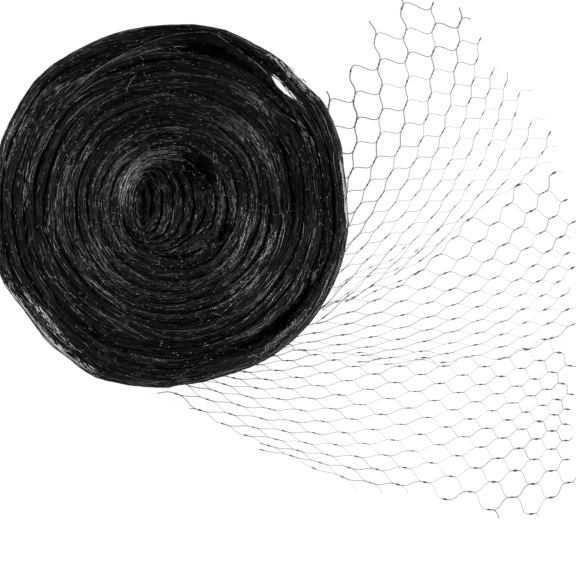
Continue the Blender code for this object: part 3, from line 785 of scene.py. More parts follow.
# %% Paths over the top
UP = np.array((0.0, 0.0, 1.0))
STRAND_POINTS = 12
FIRST_COUNT = 0.2 - HUB_TURNS  # turn count of the innermost strands
PAST_LAST = 0.8                # turns past the last full one where strands may still lie
RIM_MARGIN = 0.02              # turns that they keep inside the rim
CROWNED = 0.5                  # share of the strands that are drawn in toward their turn's crown
CROWNED_WIDTH = 0.86           # and the part of the turn's width that they keep to
MORE_SHORT = 1.5               # the higher, the more of the strands are short
LEAST_LENGTH = 5.4 * MM        # which a strand near the middle may have all the same
MOST_SWEEP = 1.8               # the most radians that one strand goes round the middle
LEAST_RADIUS = 4.0 * MM        # nearer the middle a strand sweeps as it would there
LOOSE = 0.25                   # share of the strands that drift far across their turn
LOOSE_DRIFT = 0.36             # how far they drift, in turns
TIDY_DRIFT = 0.13              # and how far the others do
WELL_DRIFT = 0.4               # share of the drift that is left in the middle of the well
BEND = 0.025                   # turns that a strand bends to and fro
BEND_WAVES = 9.0               # radians of that bend along a strand
LIFT = 0.25 * MM               # least height of a strand's middle line over the skin
LIFT_MORE = 0.38 * MM
ARCH = 0.25 * MM               # least rise of its middle over its ends
ARCH_MORE = 0.45 * MM
DIVE = 1.3 * MM                # how deep its ends dive
KINK = 0.05 * MM
LAY_WAVES = (
    # size in turns, waves round, drift a turn, start
    (0.055, 9.0, 2.9, 0.0), (0.045, 17.0, -5.3, 1.0), (0.030, 29.0, 11.0, 2.0),
)
TUFTS = (
    # size_mm, waves round, drift a turn, start
    (0.45, 5.0, 23.0, 0.0), (0.35, -8.0, 39.0, 0.7),
)


def along_strand():
    """A row of numbers along a strand, from -0.5 at its start to 0.5 at its end."""
    return np.linspace(-0.5, 0.5, STRAND_POINTS)[None, :]


def arched(t):
    """1 in the middle of a strand and 0 at its ends: 1 - (2 t) squared."""
    return 1.0 - 4.0 * t * t


def diving(t, power):
    """0 along most of a strand and 1 at its ends: the size of 2 t to a high power."""
    return (2.0 * np.abs(t)) ** power


def top_strand_paths(strands, first_count, last_count, shortest, longest):
    """Paths of strands strewn over the turns from first_count to last_count.

    A path's angle grows steadily; its turn count is the turns wound plus its place across the turn, which
    drifts. Its height is the top's, plus an arch, minus a dive at both ends that grows as the sixth power.
    """
    counts = np.array((-HUB_TURNS, WELL_TURNS, ALL_TURNS + PAST_LAST))
    hub_radius = WELL_EDGE_RADIUS - (WELL_TURNS + HUB_TURNS) * WELL_TURN_PITCH
    radii = np.array((hub_radius, WELL_EDGE_RADIUS, ROLL_START_RADIUS + PAST_LAST * TURN_PITCH))
    low, high = np.interp((first_count, last_count), counts, radii)
    radius = np.sqrt(low ** 2 + rng.random(strands) * (high ** 2 - low ** 2))
    count = np.interp(radius, radii, counts)
    angle = rng.random(strands) * 2.0 * np.pi
    across = across_turn(count, angle)
    across = 0.5 + (across - 0.5) * np.where(rng.random(strands) < CROWNED, CROWNED_WIDTH, 1.0)
    wound = np.floor(count - seam_share(angle)) + seam_share(angle)
    wound = np.clip(wound, -HUB_TURNS, ALL_TURNS - 1e-6)
    length = shortest + (longest - shortest) * rng.random(strands) ** MORE_SHORT
    length = np.minimum(length, np.maximum(MOST_SWEEP * radius, LEAST_LENGTH))
    t = along_strand()
    sweep = t * (length / np.maximum(radius, LEAST_RADIUS))[:, None]
    path_angle = angle[:, None] + sweep
    path_wound = wound[:, None] + sweep / (2.0 * np.pi)
    drift = rng.normal(0.0, np.where(rng.random(strands) < LOOSE, LOOSE_DRIFT, TIDY_DRIFT))
    drift = (drift * (WELL_DRIFT + (1.0 - WELL_DRIFT) * eased(count / WELL_TURNS)))[:, None]
    bend = rng.normal(0.0, BEND, strands)[:, None]
    phase = rng.random(strands)[:, None] * 2.0 * np.pi
    path_across = across[:, None] + drift * 2.0 * t + bend * np.sin(BEND_WAVES * t + phase)
    path_count = strand_count(path_wound, path_across)
    path_count = path_count + sines(LAY_WAVES, path_count, path_angle)
    path_count = np.clip(path_count, FIRST_COUNT, outer_count(path_angle) - RIM_MARGIN)
    lift = LIFT + LIFT_MORE * rng.random(strands)[:, None] ** 2
    arch = (ARCH + ARCH_MORE * rng.random(strands)[:, None]) * arched(t)
    kink = rng.normal(0.0, KINK, path_count.shape)
    swell = sines(TUFTS, path_count, path_angle) * MM
    return top_place(path_count, path_angle, lift + arch - DIVE * diving(t, 6) + swell + kink)


def clear_of_slit(paths):
    """True for the strands that don't cross the open slit."""
    between = np.linspace(0.0, 1.0, 5)[None, None, :, None]
    fine = paths[:, :-1, None] * (1.0 - between) + paths[:, 1:, None] * between
    angle = np.arctan2(fine[..., 1], fine[..., 0])
    radius = np.hypot(fine[..., 0], fine[..., 1])
    half = slit_half_width(angle)
    in_slit = (half > 0.0) & (np.abs(radius - slit_line(angle)) < half)
    return ~in_slit.any(axis=(1, 2))


def left_in_hollows(paths):
    """True for the strands that stay: the darker a hollow, the more of its strands are buried."""
    middle = paths[:, STRAND_POINTS // 2]
    return rng.random(len(paths)) > hollow_share(middle[:, 0], middle[:, 1])


# %% [markdown]
# A set of paths becomes one piece. Each strand has its own shade, and a painted sheen lightens the lay in
# slow ribbons that follow the turns. The strands of the glossy places take the glossy material on most of
# their stretches, and their shade is raised there as a painted highlight. Those in the hollows take a
# near-black material and a darker shade, which paint the hollows' shade.

# %% Strands over the top
STRAND_SIDES = 3
STRAND_RADIUS_MM = (0.20, 0.33)
# Painted sheen: slow ribbons along the turns make the strands' shade paler where combed bands would shine.
SHEEN_WAVES = (
    # size, waves round, drift a turn, start
    (1.0, 2.0, 2.6, 0.0), (0.7, -3.0, 4.7, 1.0),
)
SHEEN_MEAN = 0.4
SHEEN_SWING = 0.35
OWN_SHADE = 0.35               # how much of a strand's shade is its own
SHEEN_SHADE = 0.45            # how much comes from the ribbons of painted sheen
GLOSSY_HIGHLIGHT = 0.9             # and how much painted highlight comes from the glossy places
SHINY_GLINTS = 0.88            # share of a shiny strand's stretches that are glossy
DULL_GLINTS = 0.03             # and of any other strand's


def sheen_ribbon(x, y):
    """From 0 to 1, how much painted sheen lies on the lay: a wave that follows the turns for a quarter of
    the way round.
    """
    angle = np.arctan2(y, x)
    count = WELL_TURNS + (np.hypot(x, y) - WELL_EDGE_RADIUS) / TURN_PITCH
    return np.clip(SHEEN_MEAN + SHEEN_SWING * sines(SHEEN_WAVES, count, angle), 0.0, 1.0)


def some_shiny(paths, share):
    """One for a random share of the strands and nought for the rest."""
    return (rng.random(len(paths)) < share).astype(int)


def shiny_strands(paths):
    """The same, with the share of glossy strands at each strand's own place."""
    middle = paths[:, STRAND_POINTS // 2]
    return some_shiny(paths, gloss_share(middle[:, 0], middle[:, 1]))


def add_strands(name, paths, shiny, painted_highlight=0.0):
    """Tubes along the paths as one piece; a shiny strand shows its gloss on some of its stretches.

    The last argument is a painted highlight: it is added to a strand's shade, which runs from 0, black, to
    1, the palest.
    """
    points = paths.shape[1]
    radii = rng.uniform(*STRAND_RADIUS_MM, len(paths))[:, None] * MM
    places, groups = tubes(paths, radii, STRAND_SIDES, UP)
    x, y = paths[..., 0], paths[..., 1]
    # Painted highlight: in the glossy places the strands' shade is raised.
    gloss_highlight = np.maximum(gloss_share(x, y) - GLOSS_BASE, 0.0)
    own = rng.random((len(paths), 1)) ** 2
    painted_highlight = np.broadcast_to(painted_highlight, len(paths))[:, None]
    # Painted shade: in the hollows a strand's shade is darkened toward black, its glints die away, and some
    # of its stretches take the near-black material.
    lit = 1.0 - hollow_share(x, y)
    shade = OWN_SHADE * own + SHEEN_SHADE * sheen_ribbon(x, y) + GLOSSY_HIGHLIGHT * gloss_highlight + painted_highlight
    shade = np.repeat((np.clip(shade, 0.0, 1.0) * lit).ravel(), STRAND_SIDES)
    chance = np.where(shiny[:, None] > 0, SHINY_GLINTS, DULL_GLINTS) * lit[:, 1:]
    glint = (rng.random((len(paths), points - 1)) < chance).astype(int)
    painted_dark = rng.random(glint.shape) > lit[:, 1:]
    stretch_slot = np.where(painted_dark, 2, glint)
    slots = np.concatenate((np.repeat(stretch_slot.ravel(), STRAND_SIDES), stretch_slot[:, 0], stretch_slot[:, -1]))
    stretch_materials = [dull_strand, glossy_highlight_strand, hollow_shade_strand]
    piece = add_piece(name, places, groups, stretch_materials, {"shade": shade}, slots)
    print(name, "strands:", len(paths))


def add_top_strands(name, strands, first_count, last_count, shortest, longest):
    """Strew strands over some turns, make them one piece and give back their paths."""
    paths = top_strand_paths(strands, first_count, last_count, shortest, longest)
    paths = paths[clear_of_slit(paths) & left_in_hollows(paths)]
    add_strands(name, paths, shiny_strands(paths))
    return paths


add_top_strands("hub_strands", 220, FIRST_COUNT, 1.8, 8 * MM, 26 * MM)
well_paths = add_top_strands("well_strands", 1300, 1.2, 8.0, 18 * MM, 55 * MM)
inner_paths = add_top_strands("inner_turn_strands", 2300, 7.5, 12.5, 25 * MM, 75 * MM)
outer_paths = add_top_strands("outer_turn_strands", 2700, 12.0, 18.9, 25 * MM, 85 * MM)

# %% [markdown]
# Where two strands of the net cross they are one, in a short thick knot. Pulled shut, the knots end up
# strewn over the whole roll, and each one catches the light as a tiny bright dot: a real glint on its glossy
# plastic, with a painted highlight in its paler colour.

# %% Knots of the imported netting
BEADS = 2600
BEAD_LENGTH = 1.9 * MM
BEAD_RADIUS = 0.42 * MM
BEAD_LIFT = 0.25 * MM
BEAD_SIZES = (0.7, 1.2)        # the smallest and the largest, as shares
BEAD_END_ROOM = 3              # path places at a strand's ends that carry no knot
MORE_DARK = 1.5                # the higher, the more of the knots are dark


def add_beads(paths):
    """Small double pyramids along the strands: two tips and a ring of four places between them."""
    strand = rng.integers(0, len(paths), BEADS)
    point = rng.integers(BEAD_END_ROOM, STRAND_POINTS - BEAD_END_ROOM, BEADS)
    centre = paths[strand, point] + BEAD_LIFT * UP
    along = unit(paths[strand, point + 1] - paths[strand, point - 1])
    across = unit(np.cross(along, UP))
    over = np.cross(across, along)
    size = rng.uniform(*BEAD_SIZES, (BEADS, 1))
    reach = 0.5 * BEAD_LENGTH * size * along
    side, top = BEAD_RADIUS * size * across, BEAD_RADIUS * size * over
    offsets = np.stack((-reach, side, top, -side, -top, reach), axis=1)
    places = (centre[:, None] + offsets).reshape(-1, 3)
    pattern = np.array([(0, 1 + k, 1 + (k + 1) % 4) for k in range(4)])
    pattern = np.concatenate((pattern, np.array([(5, 1 + (k + 1) % 4, 1 + k) for k in range(4)])))
    faces = (np.arange(BEADS)[:, None, None] * 6 + pattern[None]).reshape(-1, 3)
    # Painted highlight: the knots take the glossy material, whose paler colours help draw their bright dots.
    shade = np.repeat(rng.random(BEADS) ** MORE_DARK, 6)
    piece = add_piece("packed_knots", places, [faces], [glossy_highlight_strand], {"shade": shade})


add_beads(np.concatenate((well_paths, inner_paths, outer_paths)))

# %% [markdown]
# Behind the slit a strip of an inner turn has popped up. It climbs outward over the last turn, makes a
# corner near the rim and falls back. Its outer edge is a given line. The strands run beside that edge, each
# at its own share of the strip's width, and they lie thickest at the edge itself, which shows as a fine
# line, its brightness a painted highlight in the strands' paler shade.

# %% The popped strip
POPPED_EDGE = (
    # angle_deg, radius_mm of the outer edge, width_mm
    (34, 96.6, 2.2), (48, 97.0, 2.4), (53, 98.8, 2.6), (57, 100.4, 3.2), (62, 101.6, 4.2),
    (70, 104.7, 4.4), (76.5, 108.2, 6.2), (83, 105.9, 6.6), (89, 104.2, 7.4), (101, 98.6, 6.0),
    (110, 95.6, 5.0), (122, 93.0, 4.0), (140, 91.0, 3.0),
)
POPPED_STRANDS = 330
POPPED_MIDDLES = (38.0, 132.0)     # directions of the strands' middles, degrees
POPPED_SPANS = (14.0, 40.0)        # how many degrees a strand goes round
POPPED_AT_EDGE = 0.22          # share of the strands that make the edge
POPPED_EDGE_WIDTH = 0.05       # share of the strip's width that they keep to
POPPED_DRIFT = 0.12            # share of the width that the others drift
POPPED_RISE = 3.4 * MM
POPPED_LEAST_RISE = 0.3        # share of the rise that is left far from the corner
POPPED_CORNER = 80.0           # direction of the corner, degrees
POPPED_CORNER_REACH = 24.0     # degrees
POPPED_FALL = 0.6              # share of the rise that is gone at the strip's inner side
POPPED_ROUGH_MM = 0.4          # how much some strands stand above the rest
POPPED_DIVE = 1.2 * MM
POPPED_FLOOR = ROLL_HEIGHT - 2.4 * MM      # the strip bridges anything deeper
POPPED_DULL_SHINY = 0.12       # share of shiny strands away from the edge, where all are shiny
# Painted highlight: the strip's strands, and most of all those at its edge, are drawn paler.
POPPED_EDGE_HIGHLIGHT = 0.45       # added to the shades at the edge
POPPED_HIGHLIGHT = 0.10            # and away from it


def spread_height(x, y):
    """Height of the roll's top under a place, read from its own radius and direction."""
    radius = np.hypot(x, y)
    angle = np.arctan2(y, x)
    count = WELL_TURNS + (radius - WELL_EDGE_RADIUS) / TURN_PITCH
    return top_place(np.clip(count, 0.0, outer_count(angle)), angle)[..., 2]


def popped_paths():
    """Paths beside the popped edge; the strip is highest at its edge and at its corner."""
    t = along_strand()
    known = np.array(POPPED_EDGE)
    centre = rng.uniform(*POPPED_MIDDLES, POPPED_STRANDS)[:, None]
    span = rng.uniform(*POPPED_SPANS, POPPED_STRANDS)[:, None]
    degrees = np.clip(centre + span * t, known[0, 0], known[-1, 0])
    at_edge = (rng.random(POPPED_STRANDS) < POPPED_AT_EDGE)[:, None]
    across = rng.uniform(0.0, 1.0, POPPED_STRANDS)[:, None]
    drift = rng.normal(0.0, POPPED_DRIFT, POPPED_STRANDS)[:, None] * 2.0 * t
    across = np.clip(np.where(at_edge, POPPED_EDGE_WIDTH * across, across + drift), 0.0, 1.0)
    edge = np.interp(degrees, known[:, 0], known[:, 1])
    width = np.interp(degrees, known[:, 0], known[:, 2])
    radius = (edge - across * width) * MM
    angle = np.radians(degrees)
    x, y = radius * np.cos(angle), radius * np.sin(angle)
    corner = np.exp(-((degrees - POPPED_CORNER) / POPPED_CORNER_REACH) ** 2)
    crest = POPPED_LEAST_RISE + (1.0 - POPPED_LEAST_RISE) * corner
    rough = rng.uniform(0.0, POPPED_ROUGH_MM, centre.shape) * MM
    rise = POPPED_RISE * crest * (1.0 - POPPED_FALL * across ** 2) + rough
    level = np.maximum(spread_height(x, y), POPPED_FLOOR)
    return np.stack((x, y, level + rise - POPPED_DIVE * diving(t, 6)), axis=-1), at_edge[:, 0]


popped, at_popped_edge = popped_paths()
popped_clear = clear_of_slit(popped)
popped, at_popped_edge = popped[popped_clear], at_popped_edge[popped_clear]
popped_shiny = some_shiny(popped, np.where(at_popped_edge, 1.0, POPPED_DULL_SHINY))
add_strands("popped_strip", popped, popped_shiny, np.where(at_popped_edge, POPPED_EDGE_HIGHLIGHT, POPPED_HIGHLIGHT))

# %% [markdown]
# A handled roll is never tidy. Short strays lie across the lay in small arcs, anywhere between the well and
# the rim.

# %% Strays
STRAYS = 230
STRAY_DISC = (0.03, 0.93)      # shares of the disc's area between which the strays start
STRAY_LENGTH_MM = (9.0, 28.0)
STRAY_HEADING = 0.55           # radians that a stray starts off the lay's direction
STRAY_CURL = 1.3               # radians that it turns along its way
STRAY_ARCH_MM = (0.5, 2.0)
STRAY_DIVE_MM = 0.4            # how deep its ends lie
STRAY_ROOM = 2.0 * MM          # how far the strays stay away from the rim and the well
STRAY_SHINY = 0.45


def stray_paths():
    """Arcs of nine to twenty-eight millimetres: the heading turns steadily along each one."""
    t = np.linspace(0.0, 1.0, STRAND_POINTS)[None, :]
    radius = ROLL_START_RADIUS * np.sqrt(rng.uniform(*STRAY_DISC, STRAYS))[:, None]
    angle = rng.random(STRAYS)[:, None] * 2.0 * np.pi
    length = rng.uniform(*STRAY_LENGTH_MM, STRAYS)[:, None] * MM
    heading = angle + 0.5 * np.pi + rng.normal(0.0, STRAY_HEADING, STRAYS)[:, None]
    heading = heading + rng.normal(0.0, STRAY_CURL, STRAYS)[:, None] * t
    step = length / (STRAND_POINTS - 1)
    x = radius * np.cos(angle) + np.cumsum(step * np.cos(heading), axis=1)
    y = radius * np.sin(angle) + np.cumsum(step * np.sin(heading), axis=1)
    arch = rng.uniform(*STRAY_ARCH_MM, STRAYS)[:, None] * np.sin(np.pi * t) - STRAY_DIVE_MM
    paths = np.stack((x, y, spread_height(x, y) + arch * MM), axis=-1)
    place_radius = np.hypot(x, y)
    off_well = place_radius > STRAY_ROOM + WELL_EDGE_RADIUS
    off_rim = place_radius < rim_radius(np.arctan2(y, x)) - STRAY_ROOM
    return paths[(off_well & off_rim).all(axis=1)]


strays = stray_paths()
strays = strays[clear_of_slit(strays)]
add_strands("strays", strays, some_shiny(strays, STRAY_SHINY))

# %% [markdown]
# Right of the well some strands have sprung across the turns. They run nearly straight from one turn to the
# next, each over a part of its line, and keep a little above whatever lies under them.

# %% Crossing strands
CROSSINGS = (
    # x_mm and y_mm where the bundle starts and ends, strands, spread_mm
    (29, 24, 26, -24, 38, 3.4), (33, 18, 43, -13, 30, 3.6), (37, 12, 30, -16, 14, 3.6),
    (25, 35, 30, 10, 14, 1.8), (24, -22, -4, -33, 16, 2.2), (-24, -8, -16, -24, 12, 1.6),
)
CROSSING_PART = (0.25, 0.60)   # share of the bundle's line that one strand covers
CROSSING_BOW_MM = 0.8          # how far its middle bows aside, in the mean
CROSSING_STAND_MM = (0.5, 1.6)     # height over whatever lies under it
CROSSING_DIVE = 1.4 * MM
CROSSING_SHINY = 0.7
# Painted highlight: the crossing strands are drawn this much paler.
CROSSING_HIGHLIGHT = 0.2


def crossing_paths(x0, y0, x1, y1, strands, spread):
    """Straight paths with a slight bow: each covers a random stretch of the line, moved aside at random."""
    t = along_strand()
    part = rng.uniform(*CROSSING_PART, strands)[:, None]
    middle = rng.uniform(0.5 * part, 1.0 - 0.5 * part)
    along = middle + part * t
    bow = rng.normal(0.0, CROSSING_BOW_MM, strands)[:, None] * arched(t)
    aside = rng.normal(0.0, 0.5 * spread, (2, strands, 1)) + bow
    x = (x0 + (x1 - x0) * along + aside[0]) * MM
    y = (y0 + (y1 - y0) * along + aside[1]) * MM
    stand = rng.uniform(*CROSSING_STAND_MM, strands)[:, None] * MM
    return np.stack((x, y, spread_height(x, y) + stand - CROSSING_DIVE * diving(t, 4)), axis=-1)


crossings = np.concatenate([crossing_paths(*row) for row in CROSSINGS])
add_strands("crossing_strands", crossings, some_shiny(crossings, CROSSING_SHINY), CROSSING_HIGHLIGHT)

# %% [markdown]
# The wall shows the same netting from the side: strands that run round the roll at all heights, slanting a
# little up or down as the pulled-shut meshes do, so that they cross each other at small angles.

# %% Strands on the wall
WALL_STRANDS = 2600
WALL_STRAND_LENGTH = (35 * MM, 95 * MM)
WALL_STRAND_FROM_MM = 1.2      # the lowest that a strand runs
WALL_STRAND_TO_MM = 72.5       # the highest that its middle lies
WALL_STRAND_OVER_TOP = 0.4 * MM    # how far past the wall's top it may climb
WALL_SLOPE = 0.16              # the steepest rise along a strand
WALL_WAVE = 0.5 * MM
WALL_WAVES = 8.0               # radians of that wave along a strand
WALL_LOOSE_AT = 225.0          # direction where the strands stand off the wall, degrees
WALL_LOOSE_REACH = 24.0        # degrees
WALL_LIFT = 0.15 * MM          # least height off the wall
WALL_LIFT_MORE = 0.5           # how much higher some stand, in millimetres
WALL_LIFT_LOOSE = 1.3          # and how much is added to that where the strands are loose
WALL_ARCH = 0.4 * MM
WALL_DIVE = 1.1 * MM
WALL_TUFT = 0.3 * MM
WALL_TUFTS_UP = 1900.0         # radians a metre
WALL_TUFTS_ROUND = 6.0
WALL_SHINY = 0.32


def wall_strand_paths(strands):
    """Paths round the wall: the height changes steadily and waves; the ends dive into the wall."""
    t = along_strand()
    angle = rng.random(strands)[:, None] * 2.0 * np.pi
    length = rng.uniform(*WALL_STRAND_LENGTH, strands)[:, None]
    height = rng.uniform(WALL_STRAND_FROM_MM, WALL_STRAND_TO_MM, strands)[:, None] * MM
    up_or_down = rng.choice((-1.0, 1.0), strands)[:, None]
    slope = up_or_down * rng.uniform(0.0, WALL_SLOPE, strands)[:, None]
    phase = rng.random(strands)[:, None] * 2.0 * np.pi
    path_angle = angle + t * length / ROLL_START_RADIUS
    rise = slope * t * length + WALL_WAVE * np.sin(WALL_WAVES * t + phase)
    path_height = np.clip(height + rise, WALL_STRAND_FROM_MM * MM, WALL_TOP + WALL_STRAND_OVER_TOP)
    loose = np.exp(-((np.degrees(angle) % 360.0 - WALL_LOOSE_AT) / WALL_LOOSE_REACH) ** 2)
    lift_more = (WALL_LIFT_MORE + WALL_LIFT_LOOSE * loose) * MM
    lift = WALL_LIFT + lift_more * rng.random(strands)[:, None] ** 2
    arch = WALL_ARCH * rng.random(strands)[:, None] * arched(t)
    tuft = WALL_TUFT * np.sin(WALL_TUFTS_UP * path_height + WALL_TUFTS_ROUND * path_angle)
    return wall_place(path_height, path_angle, lift + arch - WALL_DIVE * diving(t, 6) + tuft)


wall_paths = wall_strand_paths(WALL_STRANDS)
add_strands("wall_strands", wall_paths, some_shiny(wall_paths, WALL_SHINY))

# %% [markdown]
# On the lower left, and a little on the right and beside the slit, the outermost layer has worked loose.
# Short stretches of its strands catch the light on the shoulder, and a thin veil stands off the wall just
# outside it. With nothing but the pale table behind them, the veil's strands look grey, not black. All of
# these strands are drawn in a pale colour, from grey to near white, which paints in that light: highlights
# on the shoulder and the table's light round the veil.

# %% Loose strands at the rim
LOOSE_PLACES = (
    # angle_deg, half_angle_deg, strands, from_mm and to_mm outside the rim, shortest_mm, longest_mm, lean
    (224, 22, 210, -9.0, -0.6, 1.6, 5.0, 0.30), (226, 19, 70, -0.6, 1.5, 8.0, 20.0, 0.10),
    (5, 11, 30, -0.8, 1.0, 6.0, 16.0, 0.10), (50, 9, 26, -3.5, -0.3, 1.5, 4.0, 0.20),
)
LOOSE_EVEN = 0.8               # part of the half angle that the strands fill evenly
LOOSE_BLUR = 0.14              # part of it over which their number dies away at both sides
LOOSE_FADE = 0.6               # how much nearer the rim's line they lie toward the sides
LOOSE_LEAST = 0.3              # least share of their distance from it that is left there
LOOSE_MORE_IN = 0.8            # the lower, the more of them lie at the inner end of their stretch
LOOSE_BACK = 0.3               # how far some of them head back in, as a share of the lean
LOOSE_STAND_MM = (0.7, 1.6)    # height over the shoulder
LOOSE_DROP = 6.0               # how steeply the veil falls outside the rim
LOOSE_DROP_FROM = 0.5 * MM     # how far inside the rim's line it begins to fall


def loose_rim_paths(middle, half_angle, strands, nearest, farthest, shortest, longest, most_lean):
    """Paths that run round on the shoulder or just outside it; each heads slowly outward or back in."""
    t = along_strand()
    spread = (rng.uniform(-LOOSE_EVEN, LOOSE_EVEN, strands) + rng.normal(0.0, LOOSE_BLUR, strands))[:, None]
    angle = np.radians(middle + half_angle * spread)
    length = rng.uniform(shortest, longest, strands)[:, None] * MM
    fade = np.maximum(1.0 - LOOSE_FADE * spread ** 2, LOOSE_LEAST)
    inward = (farthest - nearest) * rng.random(strands)[:, None] ** LOOSE_MORE_IN
    out = (farthest - inward) * fade
    lean = rng.uniform(-LOOSE_BACK, 1.0, strands)[:, None] * most_lean
    path_angle = angle + t * length / ROLL_START_RADIUS
    path_out = np.clip(out + lean * t * length / MM, nearest, farthest * fade) * MM
    radius = rim_radius(path_angle) + STRAND_ROOM + path_out
    x, y = radius * np.cos(path_angle), radius * np.sin(path_angle)
    beyond = np.maximum(path_out + LOOSE_DROP_FROM, 0.0)
    stand = rng.uniform(*LOOSE_STAND_MM, strands)[:, None] * MM
    return np.stack((x, y, spread_height(x, y) + stand - LOOSE_DROP * beyond), axis=-1)


PALE_RADIUS_MM = (0.14, 0.25)
# Painted highlight: black strands drawn in a grey to near-white colour.
pale_highlight_strand = strand_material("pale_highlight_strand", dark=0.10, light=0.95, roughness=0.30, specular=1.0)


def add_highlight_strands(name, paths, brightest):
    """One piece of strands painted pale as highlights, with shades from the darkest up to the brightest."""
    radii = rng.uniform(*PALE_RADIUS_MM, len(paths))[:, None] * MM
    places, groups = tubes(paths, radii, STRAND_SIDES, UP)
    shade = per_place(brightest * rng.random(len(paths)), STRAND_POINTS, STRAND_SIDES)
    piece = add_piece(name, places, groups, [pale_highlight_strand], {"shade": shade})
    print(name, "strands:", len(paths))


loose_rim = np.concatenate([loose_rim_paths(*row) for row in LOOSE_PLACES])
add_highlight_strands("loose_rim_strands", loose_rim, brightest=1.0)

# %% [markdown]
# Where handling has rubbed the crests of a few bundles, single strands lie free of the others and flash; the
# flash is a highlight painted into their pale colour.
# They are short, follow the turns, and stand a little higher than the strands round them.

# %% Glints
GLINT_PLACES = (
    # angle_deg, radius_mm, half_angle_deg, reach_mm, strands
    (36, 64, 14, 4.5, 60), (51, 82, 8, 4, 24), (155, 101, 8, 3, 40), (43, 109, 7, 2.5, 34),
    (192, 73, 14, 4.5, 60), (208, 52, 14, 3.5, 36), (309, 93, 9, 1.2, 40), (325, 95, 8, 1.2, 44),
    (334, 97.6, 3, 1, 14), (308, 106, 10, 2.5, 36), (314, 67, 14, 5, 50), (120, 31, 26, 3.5, 24),
    (26, 92, 10, 3, 24), (91, 99.5, 4, 2.5, 22), (134, 98, 6, 2, 26), (118, 93, 14, 1.4, 30),
    (345, 62, 12, 5, 20), (172, 88, 12, 4, 24),
)
GLINT_LENGTH_MM = (1.5, 6.0)
GLINT_LEAN = 0.08              # how far a glint heads outward or inward along its length
GLINT_STAND_MM = (0.7, 1.5)
GLINT_DIVE = 0.8 * MM
GLINT_BRIGHTEST = 0.35


def glint_paths(middle, radius, half_angle, reach, strands):
    """Short paths along the turns round a place; angle and radius are strewn by the normal law."""
    t = along_strand()
    angle = np.radians(rng.normal(middle, 0.5 * half_angle, strands))[:, None]
    length = rng.uniform(*GLINT_LENGTH_MM, strands)[:, None] * MM
    lean = rng.normal(0.0, GLINT_LEAN, strands)[:, None]
    path_radius = rng.normal(radius, 0.5 * reach, strands)[:, None] * MM + lean * t * length
    path_angle = angle + t * length / (radius * MM)
    x, y = path_radius * np.cos(path_angle), path_radius * np.sin(path_angle)
    stand = rng.uniform(*GLINT_STAND_MM, strands)[:, None] * MM
    return np.stack((x, y, spread_height(x, y) + stand - GLINT_DIVE * diving(t, 4)), axis=-1)


glints = np.concatenate([glint_paths(*row) for row in GLINT_PLACES])
add_highlight_strands("glint_strands", glints[clear_of_slit(glints)], GLINT_BRIGHTEST)

# %% [markdown]
# The loose end is the same net pulled open by hand into a fan. Knots are counted across by line and outward
# by step, and a knot stands where line + step is even. The fan has three panels, and in each one the knots
# sit on a smooth surface through a few pull lines. Where two panels meet the net is folded over itself,
# so both run on past the fold line and lie on top of each other.

# %% The panels of the fan
PANELS = {
    "upper": {
        "steps": (1, 6, 11),
        "line_range": (-6, 22),
        "step_range": (-2, 15),
        "lines": (
            # line, then x_mm and y_mm at each of the steps
            (3, 109, -59, 178, -4, 235, 46),
            (8, 104, -36, 165, 14, 209, 61),
            (14, 90, -20, 140, 35, 182, 83),
            (20, 70, 6, 97, 64, 134, 115),
        ),
    },
    "middle": {
        "steps": (1, 6, 11),
        "line_range": (-2, 22),
        "step_range": (-4, 14),
        "lines": (
            (2, 98, -97, 187, -93, 270, -81),
            (7, 103, -86, 190, -75, 256, -55),
            (13, 109, -66, 187, -48, 246, -29),
            (19, 99, -44, 171, -13, 231, 9),
        ),
    },
    "lower": {
        "steps": (2, 6, 11, 16),
        "line_range": (-1, 20),
        "step_range": (-1, 20),
        "lines": (
            (3, 14, -131, 80, -150, 157, -172, 224, -182),
            (8, 26, -115, 93, -134, 168, -143, 227, -145),
            (13, 41, -105, 106, -113, 178, -116, 232, -119),
            (18, 61, -93, 116, -91, 183, -88, 241, -91),
        ),
    },
}

# The cut edge of the loose end, from the roll's right side round to its lower side.
CUT_EDGE = (
    # x_mm, y_mm
    (60, 60), (94, 76), (110, 92), (122, 104), (138, 130), (166, 130), (195, 104), (222, 70),
    (244, 32), (252, 8), (252, -164), (236, -195), (196, -195), (166, -187), (124, -178),
    (92, -166), (60, -155), (28, -141), (12, -131), (-3, -119), (-8, -104),
)

# The two folds, from the roll outward.
UPPER_FOLD = (
    (76, -82), (101, -64), (123, -52), (166, -27), (188, -5), (216, 14), (241, 28), (260, 38),
)
LOWER_FOLD = (
    (40, -85), (79, -89), (119, -94), (170, -97), (206, -93), (220, -88), (251, -79), (270, -73),
)
print("pull lines by panel:", {name: len(panel["lines"]) for name, panel in PANELS.items()})

# %% [markdown]
# Between and past the pull lines the knots' places come from Lagrange's formula: a curve through a few known
# places is a sum of them, each weighted with a polynomial that is 1 at its own number and 0 at the others'.
# The net is clipped by the cut edge, the folds and the roll, and the upper panel piles up along its fold.

# %% Where the knots lie
TUCK = 4.4 * MM                # how far the net runs in under the rim
OVERLAP = 3.5 * MM             # how far a panel runs on past its fold
PILE = 5.5 * MM                # how near its fold the upper panel's meshes start to pile up
PILE_SLOPE = 0.08              # how far the piled meshes go on past the fold
PILED_DEPTH = 11.0 * MM        # how much of the upper panel, were it flat, is in that pile


def lagrange_weights(known, wanted):
    """Weights, one row for each wanted number, that carry values from the known numbers to it.

    A known number's weight is the product of (wanted - other) / (own - other) over all the other ones.
    """
    known = np.array(known, float)
    wanted = np.array(wanted, float)
    columns = []
    for own, middle in enumerate(known):
        others = np.delete(known, own)
        columns.append(np.prod((wanted[:, None] - others) / (middle - others), axis=1))
    return np.stack(columns, axis=1)


